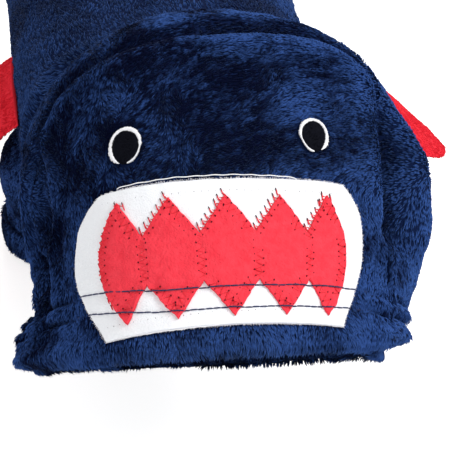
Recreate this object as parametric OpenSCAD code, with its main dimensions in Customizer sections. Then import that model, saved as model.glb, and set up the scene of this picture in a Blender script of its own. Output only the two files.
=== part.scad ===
// Plush shark costume for a small dog: a stuffed-toy style suit with a hood that makes the shark's head.
// Millimetres. The origin is the centre of the wearer's neck. +Y runs along the back to the tail,
// -Y is the face, +X is the wearer's left and +Z is up.
// Every cloth piece is a shell between two offsets of one smooth form, so neighbours share their seams.

/* [Neck] */
// Outer radius of the body's neck collar, a zone of a ball about the neck centre
neck_r = 50; // [46:0.5:54]
// Forward tilt of the neck, above level
neck_tilt = 16.6; // [8:0.1:22]
// Running gap between the nested neck pieces
neck_gap = 0.5; // [0.3:0.1:0.8]
// Thickness of the tape sewn round the neck seam
tape_t = 1.5; // [1:0.1:2]
// Width of the neck tape, in degrees about the neck centre
tape_span = 14; // [8:1:18]
// Width of the hood's back edge, in degrees behind the neck plane
hood_edge_span = 10; // [6:0.5:11]

/* [Hood] */
// Thickness of the plush cloth with its lining
cloth_t = 3; // [2:0.1:4]
// Greatest width of the hood
hood_w = 146; // [138:1:156]
// Distance from the fan axis under the throat to the neck centre
fan_drop = 81.3; // [79:0.1:84]
// Distance from the fan axis to the top of the crown
crown_rho = 166; // [162:0.5:170]
// Fan angle of the face edge
hem_angle = 137; // [135:0.5:139]
// Fan angle of the seam between face panel and side panels, on top of the head
seam_angle = 92; // [90:0.5:95]
// Side angle at which that seam runs out into the face edge
seam_foot = 15; // [12:1:20]

/* [Face edge] */
// Width of the folded-in facing along the face edge
facing_w = 22; // [20:0.5:24]
// Thickness of the facing
facing_t = 2.4; // [1.8:0.1:3]
// Width of the elastic in its channel
elastic_w = 8; // [5:0.5:9]
// Thickness of the elastic
elastic_t = 1.4; // [1:0.1:1.8]
// Distance from the face edge to the middle of the elastic
elastic_place = 12.5; // [11:0.5:14]
// Gap between cloth layers that lie on each other
layer_gap = 0.25; // [0.2:0.05:0.4]

/* [Mouth and eyes] */
// Thickness of the white mouth felt
patch_t = 1.5; // [1:0.1:2]
// Half width of the mouth patch at mid height, on the cloth
patch_half = 57; // [55:0.5:60]
// How far the patch narrows towards its top and bottom edges
patch_barrel = 9; // [4:0.5:14]
// Height of the mouth patch
patch_h = 51; // [48:0.5:54]
// Distance from the face edge to the bottom of the mouth patch
patch_rise = 9; // [7:0.5:11]
// Thickness of the red felt teeth row
felt_t = 1.2; // [0.8:0.1:1.6]
// Pitch of the joined diamonds of red felt
tooth_pitch = 19.8; // [18:0.1:20.5]
// Height of a diamond's upper peak over the middle of the red felt
peak_up = 20; // [16:0.5:21]
// Height of the upper notches over the middle of the red felt
notch_up = 7.5; // [5:0.5:10]
// Depth of a diamond's lower point
peak_down = 21.5; // [17:0.5:22]
// Depth of the lower notches
notch_down = 9; // [6:0.5:11]
// Rise of each eye's centre over the middle of the mouth
eye_rise = 40; // [37:0.5:43]
// Distance of each eye's centre from the middle, on the cloth
eye_side = 34; // [30:0.5:38]
// Half width of an eye with its ring
eye_rx = 5.3; // [4.5:0.1:6.5]
// Half height of an eye with its ring
eye_ry = 6.4; // [5.5:0.1:7.5]
// Lean of each eye towards the middle
eye_lean = 14; // [0:1:25]
// Width of the white ring round an eye
ring_w = 1.2; // [0.8:0.1:1.8]
// Thickness of the eye embroidery
eye_t = 1.3; // [0.8:0.1:1.8]

/* [Body] */
// Body width at the chest
chest_w = 128; // [120:1:134]
// Body width at the loins
loin_w = 118; // [110:1:124]
// Body height at the chest
chest_h = 104; // [98:1:110]
// Body height at the loins
loin_h = 88; // [82:1:96]
// Drop of the body's middle line under the neck centre
body_drop = 12; // [8:0.5:15]
// Distance from the neck centre to the full chest
chest_y = 52; // [50:0.5:56]
// Distance from the neck centre to the loins
loin_y = 225; // [216:1:236]
// Distance from the neck centre to the middle of the rear edge
rear_y = 246; // [242:1:256]
// Backward lean of the rear edge, longer on top
rear_lean = 24; // [15:1:30]
// Width of the rear hem
rear_hem_w = 14; // [8:1:18]
// Side angle of the seams between back and belly panels, under level
side_seam = 28; // [22:1:34]

/* [Belly closing] */
// Width of the belly opening
slot_w = 12; // [8:1:16]
// Start of the belly opening
slot_y0 = 62; // [58:1:75]
// End of the belly opening
slot_y1 = 195; // [180:1:205]
// Width of the flap over it
flap_w = 27; // [24:0.5:32]
// Thickness of the flap
flap_t = 2.4; // [1.8:0.1:3]
// Thickness of each closing strip
strip_t = 0.9; // [0.6:0.1:1.2]
// Width of each closing strip
strip_w = 8; // [5:0.5:9]

/* [Sleeves] */
// Place of each sleeve's ball along the body
sleeve_y = 84; // [80:1:90]
// Distance of each sleeve from the middle
sleeve_x = 45; // [42:0.5:48]
// Depth of each sleeve's ball under the neck centre
sleeve_z = 54; // [52:0.5:57]
// Radius of the ball that the sleeve head follows
sleeve_ball = 26; // [24:0.5:27]
// Inner radius of the leg opening
cuff_r = 20.5; // [18:0.5:21.5]
// Depth of the leg opening's edge under the ball's centre
sleeve_len = 34; // [30:0.5:44]
// Width of the cuff band
cuff_w = 12; // [8:0.5:14]
// Thickness of the cuff band
cuff_t = 1.6; // [1:0.1:2.4]

/* [Fins] */
// Thickness of a fin's cover
cover_t = 1.6; // [1.2:0.1:2.2]
// Radius of the sewn bead along a fin's root
bead_r = 3.3; // [2.6:0.1:4]
// Length of a side fin's root
side_root = 60; // [52:1:66]
// Reach of a side fin
side_span = 72; // [60:1:82]
// Droop of a side fin under level
side_droop = 37; // [25:1:45]
// Start of a side fin's root along the body
side_fin_y = 52; // [50:1:58]
// Side angle of that start, above level
side_fin_angle = 2; // [0:1:14]
// Side angle of the root's rear end, under level
side_fin_fall = 3; // [0:1:8]
// Length of the back fin's root
dorsal_root = 76; // [64:1:88]
// Height of the back fin
dorsal_span = 62; // [50:1:72]
// Start of the back fin along the body
dorsal_y = 108; // [100:1:122]
// How far the back fin's rear edge is drawn in
dorsal_hollow = 17; // [8:1:22]
// Reach of the tail fin
tail_span = 74; // [60:1:84]
// Spread of the tail fin between its lobes
tail_spread = 82; // [70:1:92]
// Fatness of a stuffed fin, half its thickness
fin_half_t = 7; // [5:0.5:8]
// Fatness of the tail at its middle, half its thickness
tail_half_t = 9; // [7:0.5:10]

/* [Hidden] */

NAVY = [0.11, 0.18, 0.35];
RED = [0.93, 0.25, 0.30];
WHITE = [0.95, 0.95, 0.95];
BLACK = [0.08, 0.10, 0.14];

$fn = 96;

// ---- small helpers -------------------------------------------------------------------------------------

function mix(a, b, t) = a + (b - a) * t;
function steps(a, b, n) = [for (i = [0:n]) mix(a, b, i / n)];
function deg(arc, radius) = arc / radius * 180 / PI;

// Slope of a table's column at row i, from the rows beside it
function slope(table, i, col) =
    let (a = max(i - 1, 0), b = min(i + 1, len(table) - 1))
    (table[b][col] - table[a][col]) / (table[b][0] - table[a][0]);

// Row of the table in which x lies
function row_of(table, x, i = 0) = i >= len(table) - 2 || x < table[i + 1][0] ? i : row_of(table, x, i + 1);

// A table's column at x, on a smooth curve through its rows
function smooth(table, x, col) =
    let (i = row_of(table, x), h = table[i + 1][0] - table[i][0], t = (x - table[i][0]) / h)
    (2 * t * t * t - 3 * t * t + 1) * table[i][col] + (t * t * t - 2 * t * t + t) * h * slope(table, i, col)
    + (3 * t * t - 2 * t * t * t) * table[i + 1][col] + (t * t * t - t * t) * h * slope(table, i + 1, col);

// Triangles between two rows of point numbers; closed joins the last pair to the first
function strip(a, b, closed = false) =
    [for (j = [0:len(a) - (closed ? 1 : 2)])
        let (k = (j + 1) % len(a)) each [[a[j], a[k], b[k]], [a[j], b[k], b[j]]]];
function turned(faces) = [for (f = faces) [f[2], f[1], f[0]]];
function flat(rows) = [for (r = rows) each r];

// Cloth between an outer and an inner grid of points, rows by columns
module cloth(outer, inner, flip = false, closed = false) {
    m = len(outer);
    n = len(outer[0]);
    o = [for (i = [0:m - 1]) [for (j = [0:n - 1]) i * n + j]];
    k = [for (i = [0:m - 1]) [for (j = [0:n - 1]) (m + i) * n + j]];
    ends = closed ? [] : concat(
        strip([for (i = [0:m - 1]) o[i][0]], [for (i = [0:m - 1]) k[i][0]]),
        turned(strip([for (i = [0:m - 1]) o[i][n - 1]], [for (i = [0:m - 1]) k[i][n - 1]])));
    faces = concat(
        [for (i = [0:m - 2]) each strip(o[i], o[i + 1], closed)],
        [for (i = [0:m - 2]) each turned(strip(k[i], k[i + 1], closed))],
        turned(strip(o[0], k[0], closed)), strip(o[m - 1], k[m - 1], closed), ends);
    polyhedron(flat(concat(outer, inner)), faces = flip ? faces : turned(faces), convexity = 8);
}

// Solid through closed rings of points, an even number in each, its ends closed across
module loft(rings) {
    m = len(rings);
    n = len(rings[0]);
    p = [for (i = [0:m - 1]) [for (j = [0:n - 1]) i * n + j]];
    lid = [for (j = [1:n / 2 - 1]) p[0][j]];
    faces = concat(
        [for (i = [0:m - 2]) each strip(p[i], p[i + 1], true)],
        lid_faces(p[0]), turned(lid_faces(p[m - 1])));
    polyhedron(flat(rings), faces = turned(faces), convexity = 6);
}
function lid_faces(p) =
    let (n = len(p))
    [for (j = [0:n / 2 - 1])
        let (a = p[j], b = p[j + 1], c = p[n - j - 1], d = p[(n - j) % n])
        each concat(j == 0 ? [] : [[a, d, c]], j == n / 2 - 1 ? [] : [[a, c, b]])];

// Zone of a hollow ball about the neck centre, between two angles from the neck axis
module neck_zone(r_out, wall, from, to) {
    rotate([90 - neck_tilt, 0, 0]) rotate_extrude() intersection() {
        difference() {
            circle(r_out);
            circle(r_out - wall);
        }
        translate([0, r_out * cos(to)]) square([r_out + 1, r_out * (cos(from) - cos(to))]);
    }
}

// ---- the hood's form -----------------------------------------------------------------------------------
// Rings in planes that fan out about a cross line under the throat. Each ring is two half ellipses.

tape_r = neck_r + neck_gap + tape_t;
hood_neck_r = tape_r + neck_gap + cloth_t;
neck_fan = 90 - neck_tilt;
fan_y = -fan_drop * cos(neck_fan);
fan_z = -fan_drop * sin(neck_fan);
hood_half = hood_w / 2;
// Fan angle, distance of top, widest line and throat from the fan axis, half width
hood_rings = [
    [neck_fan, fan_drop + hood_neck_r, fan_drop, fan_drop - hood_neck_r, hood_neck_r],
    [84, crown_rho - 6, 90, 24, hood_half - 6],
    [92, crown_rho, 94, 25, hood_half - 1],
    [100, crown_rho - 2, 92, 28, hood_half],
    [108, crown_rho - 6, 88, 33, hood_half - 1],
    [116, crown_rho - 11, 84, 37.5, hood_half - 1.5],
    [124, crown_rho - 15.5, 80, 41, hood_half - 2],
    [132, crown_rho - 16, 81, 45, hood_half - 4],
    [hem_angle, crown_rho - 15.3, 82, 47, hood_half - 5]];

// Point of the hood at fan angle b and side angle p, at depth d inside the cloth's outer face
function hood_point(b, p, d = 0) =
    let (top = smooth(hood_rings, b, 1), mid = smooth(hood_rings, b, 2), low = smooth(hood_rings, b, 3),
         half = smooth(hood_rings, b, 4),
         rho = mid + (sin(p) >= 0 ? top - mid - d : mid - low - d) * sin(p))
    [(half - d) * cos(p), fan_y + rho * cos(b), fan_z + rho * sin(b)];
function hood_rho(b, p) = norm([hood_point(b, p)[1] - fan_y, hood_point(b, p)[2] - fan_z]);

// Fan angle of the seam arch between the face panel and the sides
function seam(p) = seam_angle + (hem_angle - seam_angle) * pow(abs(p - 90) / (90 - seam_foot), 4);

arch = steps(seam_foot, 180 - seam_foot, 30);
half_arch = [for (i = [0:15]) arch[i]];
throat = [for (i = [0:13]) mix(-90, seam_foot, i / 14)];
hem_ring = steps(0, 351, 39);

// Closed band round the hood: each row has a fan angle and the depths of its outer and inner faces
module hood_band(rows) {
    cloth([for (r = rows) [for (p = hem_ring) hood_point(r[0], p, r[1])]],
          [for (r = rows) [for (p = hem_ring) hood_point(r[0], p, r[2])]], flip = true, closed = true);
}

module hood_face_panel() {
    color(NAVY) cloth(
        [for (t = steps(0, 1, 8)) [for (p = arch) face_panel_point(p, t, 0)]],
        [for (t = steps(0, 1, 8)) [for (p = arch) face_panel_point(p, t, cloth_t)]]);
}
// The panel narrows to a short edge at the seam's two feet
foot_w = 1.5;
function face_panel_point(p, t, d) =
    hood_point(mix(min(seam(p), hem_angle - foot_w), hem_angle, t), p, d);

// Panel of one side, from the top seam round to the throat seam; its front edge is the arch, then the hem
module hood_side() {
    angles = concat(throat, half_arch);
    function front(p) = p < seam_foot - 0.01 ? hem_angle : min(seam(p), hem_angle - foot_w);
    rows = steps(0, 1, 9);
    cloth([for (t = rows) [for (p = angles) hood_point(mix(neck_fan, front(p), t), p, 0)]],
          [for (t = rows) [for (p = angles) hood_point(mix(neck_fan, front(p), t), p, cloth_t)]]);
}
module hood_side_left() { color(NAVY) hood_side(); }
module hood_side_right() { color(NAVY) mirror([1, 0, 0]) hood_side(); }

module hood_neck_edge() {
    color(NAVY) neck_zone(hood_neck_r, cloth_t, 90, 90 + hood_edge_span);
}

// Fan angle at an arc length inside the face edge, measured at the side of the hood
function inside_hem(arc) = hem_angle - deg(arc, hood_rho(hem_angle, 30));

// The facing lies on the cloth at both its edges and stands off it over the elastic
module hood_hem_facing() {
    lie = cloth_t + layer_gap;
    stand = lie + elastic_t + 2 * layer_gap;
    near = elastic_place - elastic_w / 2;
    far = elastic_place + elastic_w / 2;
    rise = 1.6;
    rows = [for (r = [[0.4, lie], [near - rise, lie], [near - 0.4, stand], [far + 0.4, stand],
                      [far + rise, lie], [facing_w, lie]]) [inside_hem(r[0]), r[1], r[1] + facing_t]];
    color(NAVY) hood_band(rows);
}

module face_elastic() {
    lie = cloth_t + 2 * layer_gap;
    rows = [for (x = [-0.5, 0.5]) [inside_hem(elastic_place + x * elastic_w), lie, lie + elastic_t]];
    color(WHITE) hood_band(rows);
}

// ---- mouth and eyes ------------------------------------------------------------------------------------
// Laid out flat in millimetres across (s) and up (t) from the mouth's middle, then bent onto the hood.

face_r = hood_half - 2;
mouth_angle = hem_angle - deg(patch_rise + patch_h / 2, hood_rho(hem_angle, 90));
function face_point(s, t, d) =
    let (p = 90 - deg(s, face_r), b = mouth_angle - deg(t, hood_rho(mouth_angle, p)))
    hood_point(b, p, d);

module mouth_patch() {
    low = -layer_gap;
    rows = steps(-1, 1, 8);
    cols = steps(-1, 1, 16);
    function half(r) = patch_half - patch_barrel * (r < 0 ? 1.25 : 0.75) * r * r;
    function spot(r, c, d) = face_point(c * half(r), r * patch_h / 2 * (1 - 0.06 * c * c), d);
    color(WHITE) cloth([for (r = rows) [for (c = cols) spot(r, c, low - patch_t)]],
                       [for (r = rows) [for (c = cols) spot(r, c, low)]]);
}

// Row of joined diamonds: the outline rises to peaks and falls to notches, half a pitch apart
module mouth_felt() {
    low = -layer_gap - patch_t - layer_gap;
    last = 2.4 * tooth_pitch;
    half_steps = [for (i = [-8:8]) i * tooth_pitch / 4];
    cols = concat([-last, -2.2 * tooth_pitch], half_steps, [2.2 * tooth_pitch, last]);
    function wave(s) = abs(s) > 2 * tooth_pitch ? 1 - (abs(s) / tooth_pitch - 2) * 2.2
        : abs(1 - 2 * abs(abs(s) / tooth_pitch - round(abs(s) / tooth_pitch)));
    function top(s) = mix(notch_up, peak_up, wave(s));
    function bottom(s) = -mix(notch_down, peak_down, wave(s));
    rows = steps(0, 1, 5);
    color(RED) cloth(
        [for (r = rows) [for (s = cols) face_point(s, mix(bottom(s), top(s), r), low - felt_t)]],
        [for (r = rows) [for (s = cols) face_point(s, mix(bottom(s), top(s), r), low)]]);
}

// Oval about an eye's centre, at a share of the eye's size and a depth
eye_turns = steps(0, 342, 19);
function eye_oval(side, share, d) =
    let (lean = side * eye_lean)
    [for (a = eye_turns)
        let (u = share * eye_rx * cos(a), v = share * eye_ry * sin(a))
        face_point(side * eye_side + u * cos(lean) - v * sin(lean),
                   eye_rise + u * sin(lean) + v * cos(lean), d)];
pupil_share = 1 - ring_w / eye_rx;
module eye_pupil(side) {
    color(BLACK) loft([for (d = [-layer_gap, -layer_gap - eye_t]) eye_oval(side, pupil_share - 0.01, d)]);
}
module eye_ring(side) {
    shares = [pupil_share + 0.01, 1];
    color(WHITE) cloth([for (f = shares) eye_oval(side, f, -layer_gap - eye_t)],
                       [for (f = shares) eye_oval(side, f, -layer_gap)], flip = true, closed = true);
}
module eye_ring_left() { eye_ring(1); }
module eye_ring_right() { eye_ring(-1); }
module eye_pupil_left() { eye_pupil(1); }
module eye_pupil_right() { eye_pupil(-1); }

// ---- the body's form -----------------------------------------------------------------------------------
// Rings from the neck collar over the shoulders, straight along the back, to the leaning rear edge.

collar_front = 72;
collar_back = 127;
neck_ring_r = neck_r * sin(collar_back);
neck_ring_back = -neck_r * cos(collar_back);
shoulder_part = 0.18;
straight_part = 0.85;

// Ring at u from 0 (neck) to 1 (rear edge): middle y, middle z, lean, half width, half height
function body_ring(u) =
    u < shoulder_part ? let (t = u / shoulder_part, swell = sin(90 * t))
        [mix(neck_ring_back * cos(neck_tilt), chest_y, t),
         mix(-neck_ring_back * sin(neck_tilt), -body_drop, t), mix(neck_tilt, 0, t),
         mix(neck_ring_r, chest_w / 2, swell), mix(neck_ring_r, chest_h / 2, swell)]
    : u < straight_part ? let (t = (u - shoulder_part) / (straight_part - shoulder_part))
        [mix(chest_y, loin_y, t), -body_drop, 0, mix(chest_w, loin_w, t) / 2, mix(chest_h, loin_h, t) / 2]
    : let (t = (u - straight_part) / (1 - straight_part))
        [mix(loin_y, rear_y, t), -body_drop, rear_lean * t, loin_w / 2 - 3 * t, loin_h / 2 - 2 * t];

function ring_point(r, p, d) =
    let (v = (r[4] - d) * sin(p))
    [(r[3] - d) * cos(p), r[0] + v * sin(r[2]), r[1] + v * cos(r[2])];
function body_point(u, p, d = 0) = ring_point(body_ring(u), p, d);
// Share u along the straight part at distance y behind the neck
function at_y(y) = shoulder_part + (straight_part - shoulder_part) * (y - chest_y) / (loin_y - chest_y);

body_rows = concat(steps(0, shoulder_part, 4), [for (i = [1:5]) mix(shoulder_part, straight_part, i / 5)],
                   [0.9, 0.95, 1]);
closing_angle = 272;

module body_cloth(from, to, count) {
    angles = steps(from, to, count);
    difference() {
        cloth([for (u = body_rows) [for (p = angles) body_point(u, p, 0)]],
              [for (u = body_rows) [for (p = angles) body_point(u, p, cloth_t)]], flip = true);
        for (side = [-1, 1]) sleeve_at(side) sphere(sleeve_ball + neck_gap);
    }
}

module back_panel() { color(NAVY) body_cloth(-side_seam, 180 + side_seam, 28); }
module belly_panel_left() { color(NAVY) body_cloth(closing_angle, 360 - side_seam, 8); }
module belly_panel_right() {
    color(NAVY) difference() {
        body_cloth(180 + side_seam, closing_angle, 9);
        translate([slot_x0, slot_y0, -body_drop - chest_h]) cube([slot_w * 2, slot_y1 - slot_y0, chest_h]);
    }
}

module neck_collar() { color(NAVY) neck_zone(neck_r, cloth_t, collar_front, collar_back); }
module neck_tape() { color(NAVY) neck_zone(tape_r, tape_t, 90 - tape_span / 2, 90 + tape_span / 2); }

module rear_hem() {
    turns = steps(0, 352, 44);
    rows = steps(1 - rear_hem_w / (rear_y - loin_y) * (1 - straight_part), 1, 2);
    color(NAVY) cloth([for (u = rows) [for (p = turns) body_point(u, p, cloth_t + layer_gap)]],
                      [for (u = rows) [for (p = turns) body_point(u, p, cloth_t + layer_gap + facing_t)]],
                      flip = true, closed = true);
}

// ---- belly closing -------------------------------------------------------------------------------------

slot_x1 = chest_w / 2 * cos(closing_angle);
slot_x0 = slot_x1 - slot_w;
flap_x0 = slot_x0 - 3;
strip_x0 = slot_x1 + 1.2;
flap_rows = steps(at_y(slot_y0 - 4), at_y(slot_y1 + 4), 6);
strip_rows = steps(at_y(slot_y0 + 2), at_y(slot_y1 - 2), 6);

// Side angle of the belly at distance x from the middle
function belly_angle(x, u) = 360 - acos(x / body_ring(u)[3]);
function belly_point(x, u, d) = body_point(u, belly_angle(x, u), d);

module belly_strip(rows, x0, x1, d_in, d_out) {
    cols = steps(x0, x1, 3);
    cloth([for (u = rows) [for (x = cols) belly_point(x, u, d_out)]],
          [for (u = rows) [for (x = cols) belly_point(x, u, d_in)]], flip = true);
}
module hook_strip() {
    color(NAVY) belly_strip(strip_rows, strip_x0, strip_x0 + strip_w,
                            -layer_gap / 2, -layer_gap / 2 - strip_t);
}
hook_top = layer_gap / 2 + strip_t;
module loop_strip() {
    color(NAVY) belly_strip(strip_rows, strip_x0, strip_x0 + strip_w,
                            -hook_top - layer_gap, -hook_top - layer_gap - strip_t);
}
// The flap lies on the belly beside the opening and stands over the two strips
module belly_flap() {
    near = 0.3;
    over = hook_top + 2 * layer_gap + strip_t;
    cols = [[flap_x0, near], [slot_x0, near], [slot_x1 - 1, near], [strip_x0 - 0.4, over],
            [strip_x0 + strip_w + 0.4, over], [flap_x0 + flap_w, over]];
    color(NAVY) cloth([for (u = flap_rows) [for (c = cols) belly_point(c[0], u, -c[1] - flap_t)]],
                      [for (u = flap_rows) [for (c = cols) belly_point(c[0], u, -c[1])]], flip = true);
}

// ---- sleeves -------------------------------------------------------------------------------------------

module sleeve_at(side) { translate([side * sleeve_x, sleeve_y, -sleeve_z]) children(); }
sleeve_r = cuff_r + cloth_t;
// Depth of the ball's cut inside the body, along the slant of the body's side
ball_depth = 9;

module sleeve(side) {
    color(NAVY) sleeve_at(side) difference() {
        union() {
            intersection() {
                sphere(sleeve_ball);
                rotate([0, side * 135, 0]) translate([-60, -60, -ball_depth]) cube([120, 120, 60]);
            }
            translate([0, 0, -sleeve_len]) cylinder(r = sleeve_r, h = sleeve_len - 8);
        }
        sphere(sleeve_ball - cloth_t);
        translate([0, 0, -sleeve_len - 1]) cylinder(r = cuff_r, h = sleeve_len + 1);
    }
}
module sleeve_left() { sleeve(1); }
module sleeve_right() { sleeve(-1); }

module cuff(side) {
    color(NAVY) sleeve_at(side) translate([0, 0, -sleeve_len]) difference() {
        cylinder(r = sleeve_r + layer_gap + cuff_t, h = cuff_w);
        translate([0, 0, -1]) cylinder(r = sleeve_r + layer_gap, h = cuff_w + 2);
    }
}
module cuff_left() { cuff(1); }
module cuff_right() { cuff(-1); }

// ---- fins ----------------------------------------------------------------------------------------------
// A fin lies in its own plane: root along X from 0, reach along Y, thickness along Z, hinge on the X axis.

function bow(x, a, b) = 1 - pow(max(1 - pow(x, a), 0), b);

// Section at reach y: where it starts and ends along the root, and its half thickness.
// The front edge is a quarter oval. The back edge is one too, drawn in by the hollow.
function fin_section(root, span, tip, hollow, y, fat) =
    let (x = max(y, 0) / span)
    [tip * bow(x, 2, 0.5), mix(root, tip, bow(x, 2, 0.5)) - hollow * sin(180 * pow(x, 0.7)),
     y < 0 ? sqrt(max(bead_r * bead_r - y * y, 0.04))
     : bead_r + (fat - bead_r) * sin(180 * pow(x, 0.75)) - (bead_r - 1.2) * x];

module fin(root, span, tip, hollow, fat, shrink = 0, count = 18) {
    bead = [for (x = [-0.97, -0.6, 0]) x * bead_r];
    reaches = concat(bead, [for (x = [0.12, 0.28, 0.46, 0.64, 0.8, 0.91, 0.975, 0.997]) x * span]);
    loft([for (y = reaches)
        let (s = fin_section(root, span, tip, hollow, y, fat), mid = (s[0] + s[1]) / 2,
             half = max((s[1] - s[0]) / 2 - shrink, 0.25), thick = max(s[2] - shrink, 0.2),
             inset = y < 0 ? y * (1 - shrink / bead_r) : y * (1 - 1.4 * shrink / span))
        [for (j = [0:count - 1]) let (a = 360 * j / count) [mid - half * cos(a), inset, thick * sin(a)]]]);
}
// Hollow cover, or the filling inside it
module stuffed(root, span, tip, hollow, fat, part) {
    if (part == "cover") difference() {
        fin(root, span, tip, hollow, fat);
        fin(root, span, tip, hollow, fat, cover_t);
    }
    if (part == "filling") fin(root, span, tip, hollow, fat, cover_t + layer_gap);
}

// The side fin's root runs straight between two points just off the body, which bows out between them
body_bow = (1 - cos((side_fin_angle + side_fin_fall) / 2)) * chest_h / 2;
root_lift = bead_r + neck_gap + body_bow;
side_seat = body_point(at_y(side_fin_y), side_fin_angle, -root_lift);
side_end = body_point(at_y(side_fin_y + side_root), -side_fin_fall, -root_lift);
side_line = (side_end - side_seat) / norm(side_end - side_seat);
side_turn = atan2(-side_line[0], side_line[1]);
side_slope = asin(-side_line[2]);

module side_fin_at(side) {
    mirror([side < 0 ? 1 : 0, 0, 0])
        translate(side_seat) rotate([0, 0, side_turn]) rotate([-side_slope, 0, 0]) rotate([0, side_droop, 0])
            rotate([0, 0, 90]) mirror([0, 1, 0]) children();
}
module side_fin(side, part) {
    color(RED) side_fin_at(side) stuffed(side_root, side_span, side_root * 0.56, 0, fin_half_t, part);
}
module fin_left_cover() { side_fin(1, "cover"); }
module fin_left_filling() { side_fin(1, "filling"); }
module fin_right_cover() { side_fin(-1, "cover"); }
module fin_right_filling() { side_fin(-1, "filling"); }

// The back fin stands on the top line of the body
top_fall = atan((chest_h - loin_h) / 2 / (loin_y - chest_y));
module dorsal(part) {
    color(RED) translate(body_point(at_y(dorsal_y), 90, -bead_r - neck_gap)) rotate([-top_fall, 0, 0])
        rotate([90, 0, 90])
            stuffed(dorsal_root, dorsal_span, dorsal_root + 6, dorsal_hollow, fin_half_t, part);
}
module dorsal_cover() { dorsal("cover"); }
module dorsal_filling() { dorsal("filling"); }

// The tail fin stands on the top line near the rear edge. Its stalk rises from the root, bends backward
// and spreads to an upper and a lower lobe with a fork between them.
tail_root = 30;
tail_bend = 62;
tail_fork = 16;
function tail_path(x) =
    let (h = 90 - tail_bend * x, turn = tail_bend * PI / 180)
    [(sin(90) - sin(h)) / turn, (cos(h) - cos(90)) / turn, h];
module tail_loft(shrink, count = 18) {
    bead = [-0.97, -0.6, 0];
    loft([for (u = concat(bead, [0.14, 0.3, 0.48, 0.66, 0.82, 0.94, 1]))
        let (x = max(u, 0), path = tail_path(x), reach = tail_span - tail_fork - 1.5 * shrink,
             fork = tail_fork * x * x,
             waist = mix(tail_root / 2 - 4 * sin(180 * min(x * 2, 1)), tail_spread / 2, pow(x, 2.2)),
             half = max(waist - shrink, 1),
             bulge = bead_r + (tail_half_t - bead_r) * sin(180 * pow(x, 0.7)) - (bead_r - 1.6) * x,
             thick = max((u < 0 ? bead_r * sqrt(1 - u * u) : bulge) - shrink, 0.2),
             low = u < 0 ? u * (bead_r - shrink) : 0)
        [for (j = [0:count - 1])
            let (a = 360 * j / count, w = -half * cos(a), f = fork * pow(cos(a), 2))
            [path[0] * reach + w * sin(path[2]) + f * cos(path[2]),
             path[1] * reach - w * cos(path[2]) + f * sin(path[2]) + low, thick * sin(a)]]]);
}
tail_seat_u = 0.912;
tail_fall = 8;
module tail(part) {
    color(NAVY) translate(body_point(tail_seat_u, 90, -bead_r - neck_gap)) rotate([-tail_fall, 0, 0])
        rotate([90, 0, 90]) {
            if (part == "cover") difference() {
                tail_loft(0);
                tail_loft(cover_t);
            }
            if (part == "filling") tail_loft(cover_t + layer_gap);
        }
}
module tail_cover() { tail("cover"); }
module tail_filling() { tail("filling"); }

back_panel();
belly_panel_left();
belly_panel_right();
neck_collar();
rear_hem();
hook_strip();
belly_flap();
loop_strip();
neck_tape();
hood_face_panel();
hood_side_left();
hood_side_right();
hood_neck_edge();
hood_hem_facing();
face_elastic();
mouth_patch();
mouth_felt();
eye_ring_left();
eye_ring_right();
eye_pupil_left();
eye_pupil_right();
sleeve_left();
sleeve_right();
cuff_left();
cuff_right();
fin_left_cover();
fin_left_filling();
fin_right_cover();
fin_right_filling();
dorsal_cover();
dorsal_filling();
tail_cover();
tail_filling();
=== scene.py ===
import math

import bpy
import numpy as np
from mathutils import Matrix, Vector


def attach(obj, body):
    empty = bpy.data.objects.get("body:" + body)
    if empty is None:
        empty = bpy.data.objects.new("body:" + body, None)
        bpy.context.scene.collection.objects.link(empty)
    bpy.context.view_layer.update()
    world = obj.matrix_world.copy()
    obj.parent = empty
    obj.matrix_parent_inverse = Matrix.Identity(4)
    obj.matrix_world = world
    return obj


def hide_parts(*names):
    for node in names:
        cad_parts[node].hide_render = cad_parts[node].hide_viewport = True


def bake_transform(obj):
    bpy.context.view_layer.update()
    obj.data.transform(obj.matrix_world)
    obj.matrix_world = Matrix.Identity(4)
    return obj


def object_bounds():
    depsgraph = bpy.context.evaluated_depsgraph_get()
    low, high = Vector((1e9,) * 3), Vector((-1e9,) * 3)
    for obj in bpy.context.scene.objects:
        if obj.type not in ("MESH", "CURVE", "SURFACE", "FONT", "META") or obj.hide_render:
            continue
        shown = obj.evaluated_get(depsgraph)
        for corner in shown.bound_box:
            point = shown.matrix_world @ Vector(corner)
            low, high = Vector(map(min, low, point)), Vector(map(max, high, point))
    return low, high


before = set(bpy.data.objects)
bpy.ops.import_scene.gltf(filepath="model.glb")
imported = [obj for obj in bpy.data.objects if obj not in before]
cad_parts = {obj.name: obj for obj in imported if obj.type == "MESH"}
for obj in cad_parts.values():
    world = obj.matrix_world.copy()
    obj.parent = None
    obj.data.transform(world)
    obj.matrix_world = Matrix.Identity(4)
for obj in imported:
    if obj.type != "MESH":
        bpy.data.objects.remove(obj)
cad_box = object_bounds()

# Lengths are millimetres until mesh() writes them in metres. Fan angles b and side angles p are degrees,
# as in the part's source: b fans out from the neck to the face edge, p runs round the hood or the body.
MM = 0.001


# ---- small helpers -----------------------------------------------------------

def bell(x, middle, width):
    return np.exp(-((x - middle) / width) ** 2)


def ease(x, a, b):
    t = np.clip((x - a) / (b - a), 0, 1)
    return t * t * (3 - 2 * t)


def mix(a, b, t):
    return a + (b - a) * t


def unit(v):
    return v / (np.linalg.norm(v, axis=-1, keepdims=True) + 1e-12)


def around(p, middle):
    return (p - middle + 180) % 360 - 180


def sind(degrees):
    return np.sin(np.radians(degrees))


def cosd(degrees):
    return np.cos(np.radians(degrees))


def run_along(points):
    """Distance along a line of points, at each of them."""
    return np.concatenate([[0], np.cumsum(np.linalg.norm(np.diff(points, axis=0), axis=1))])


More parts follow.
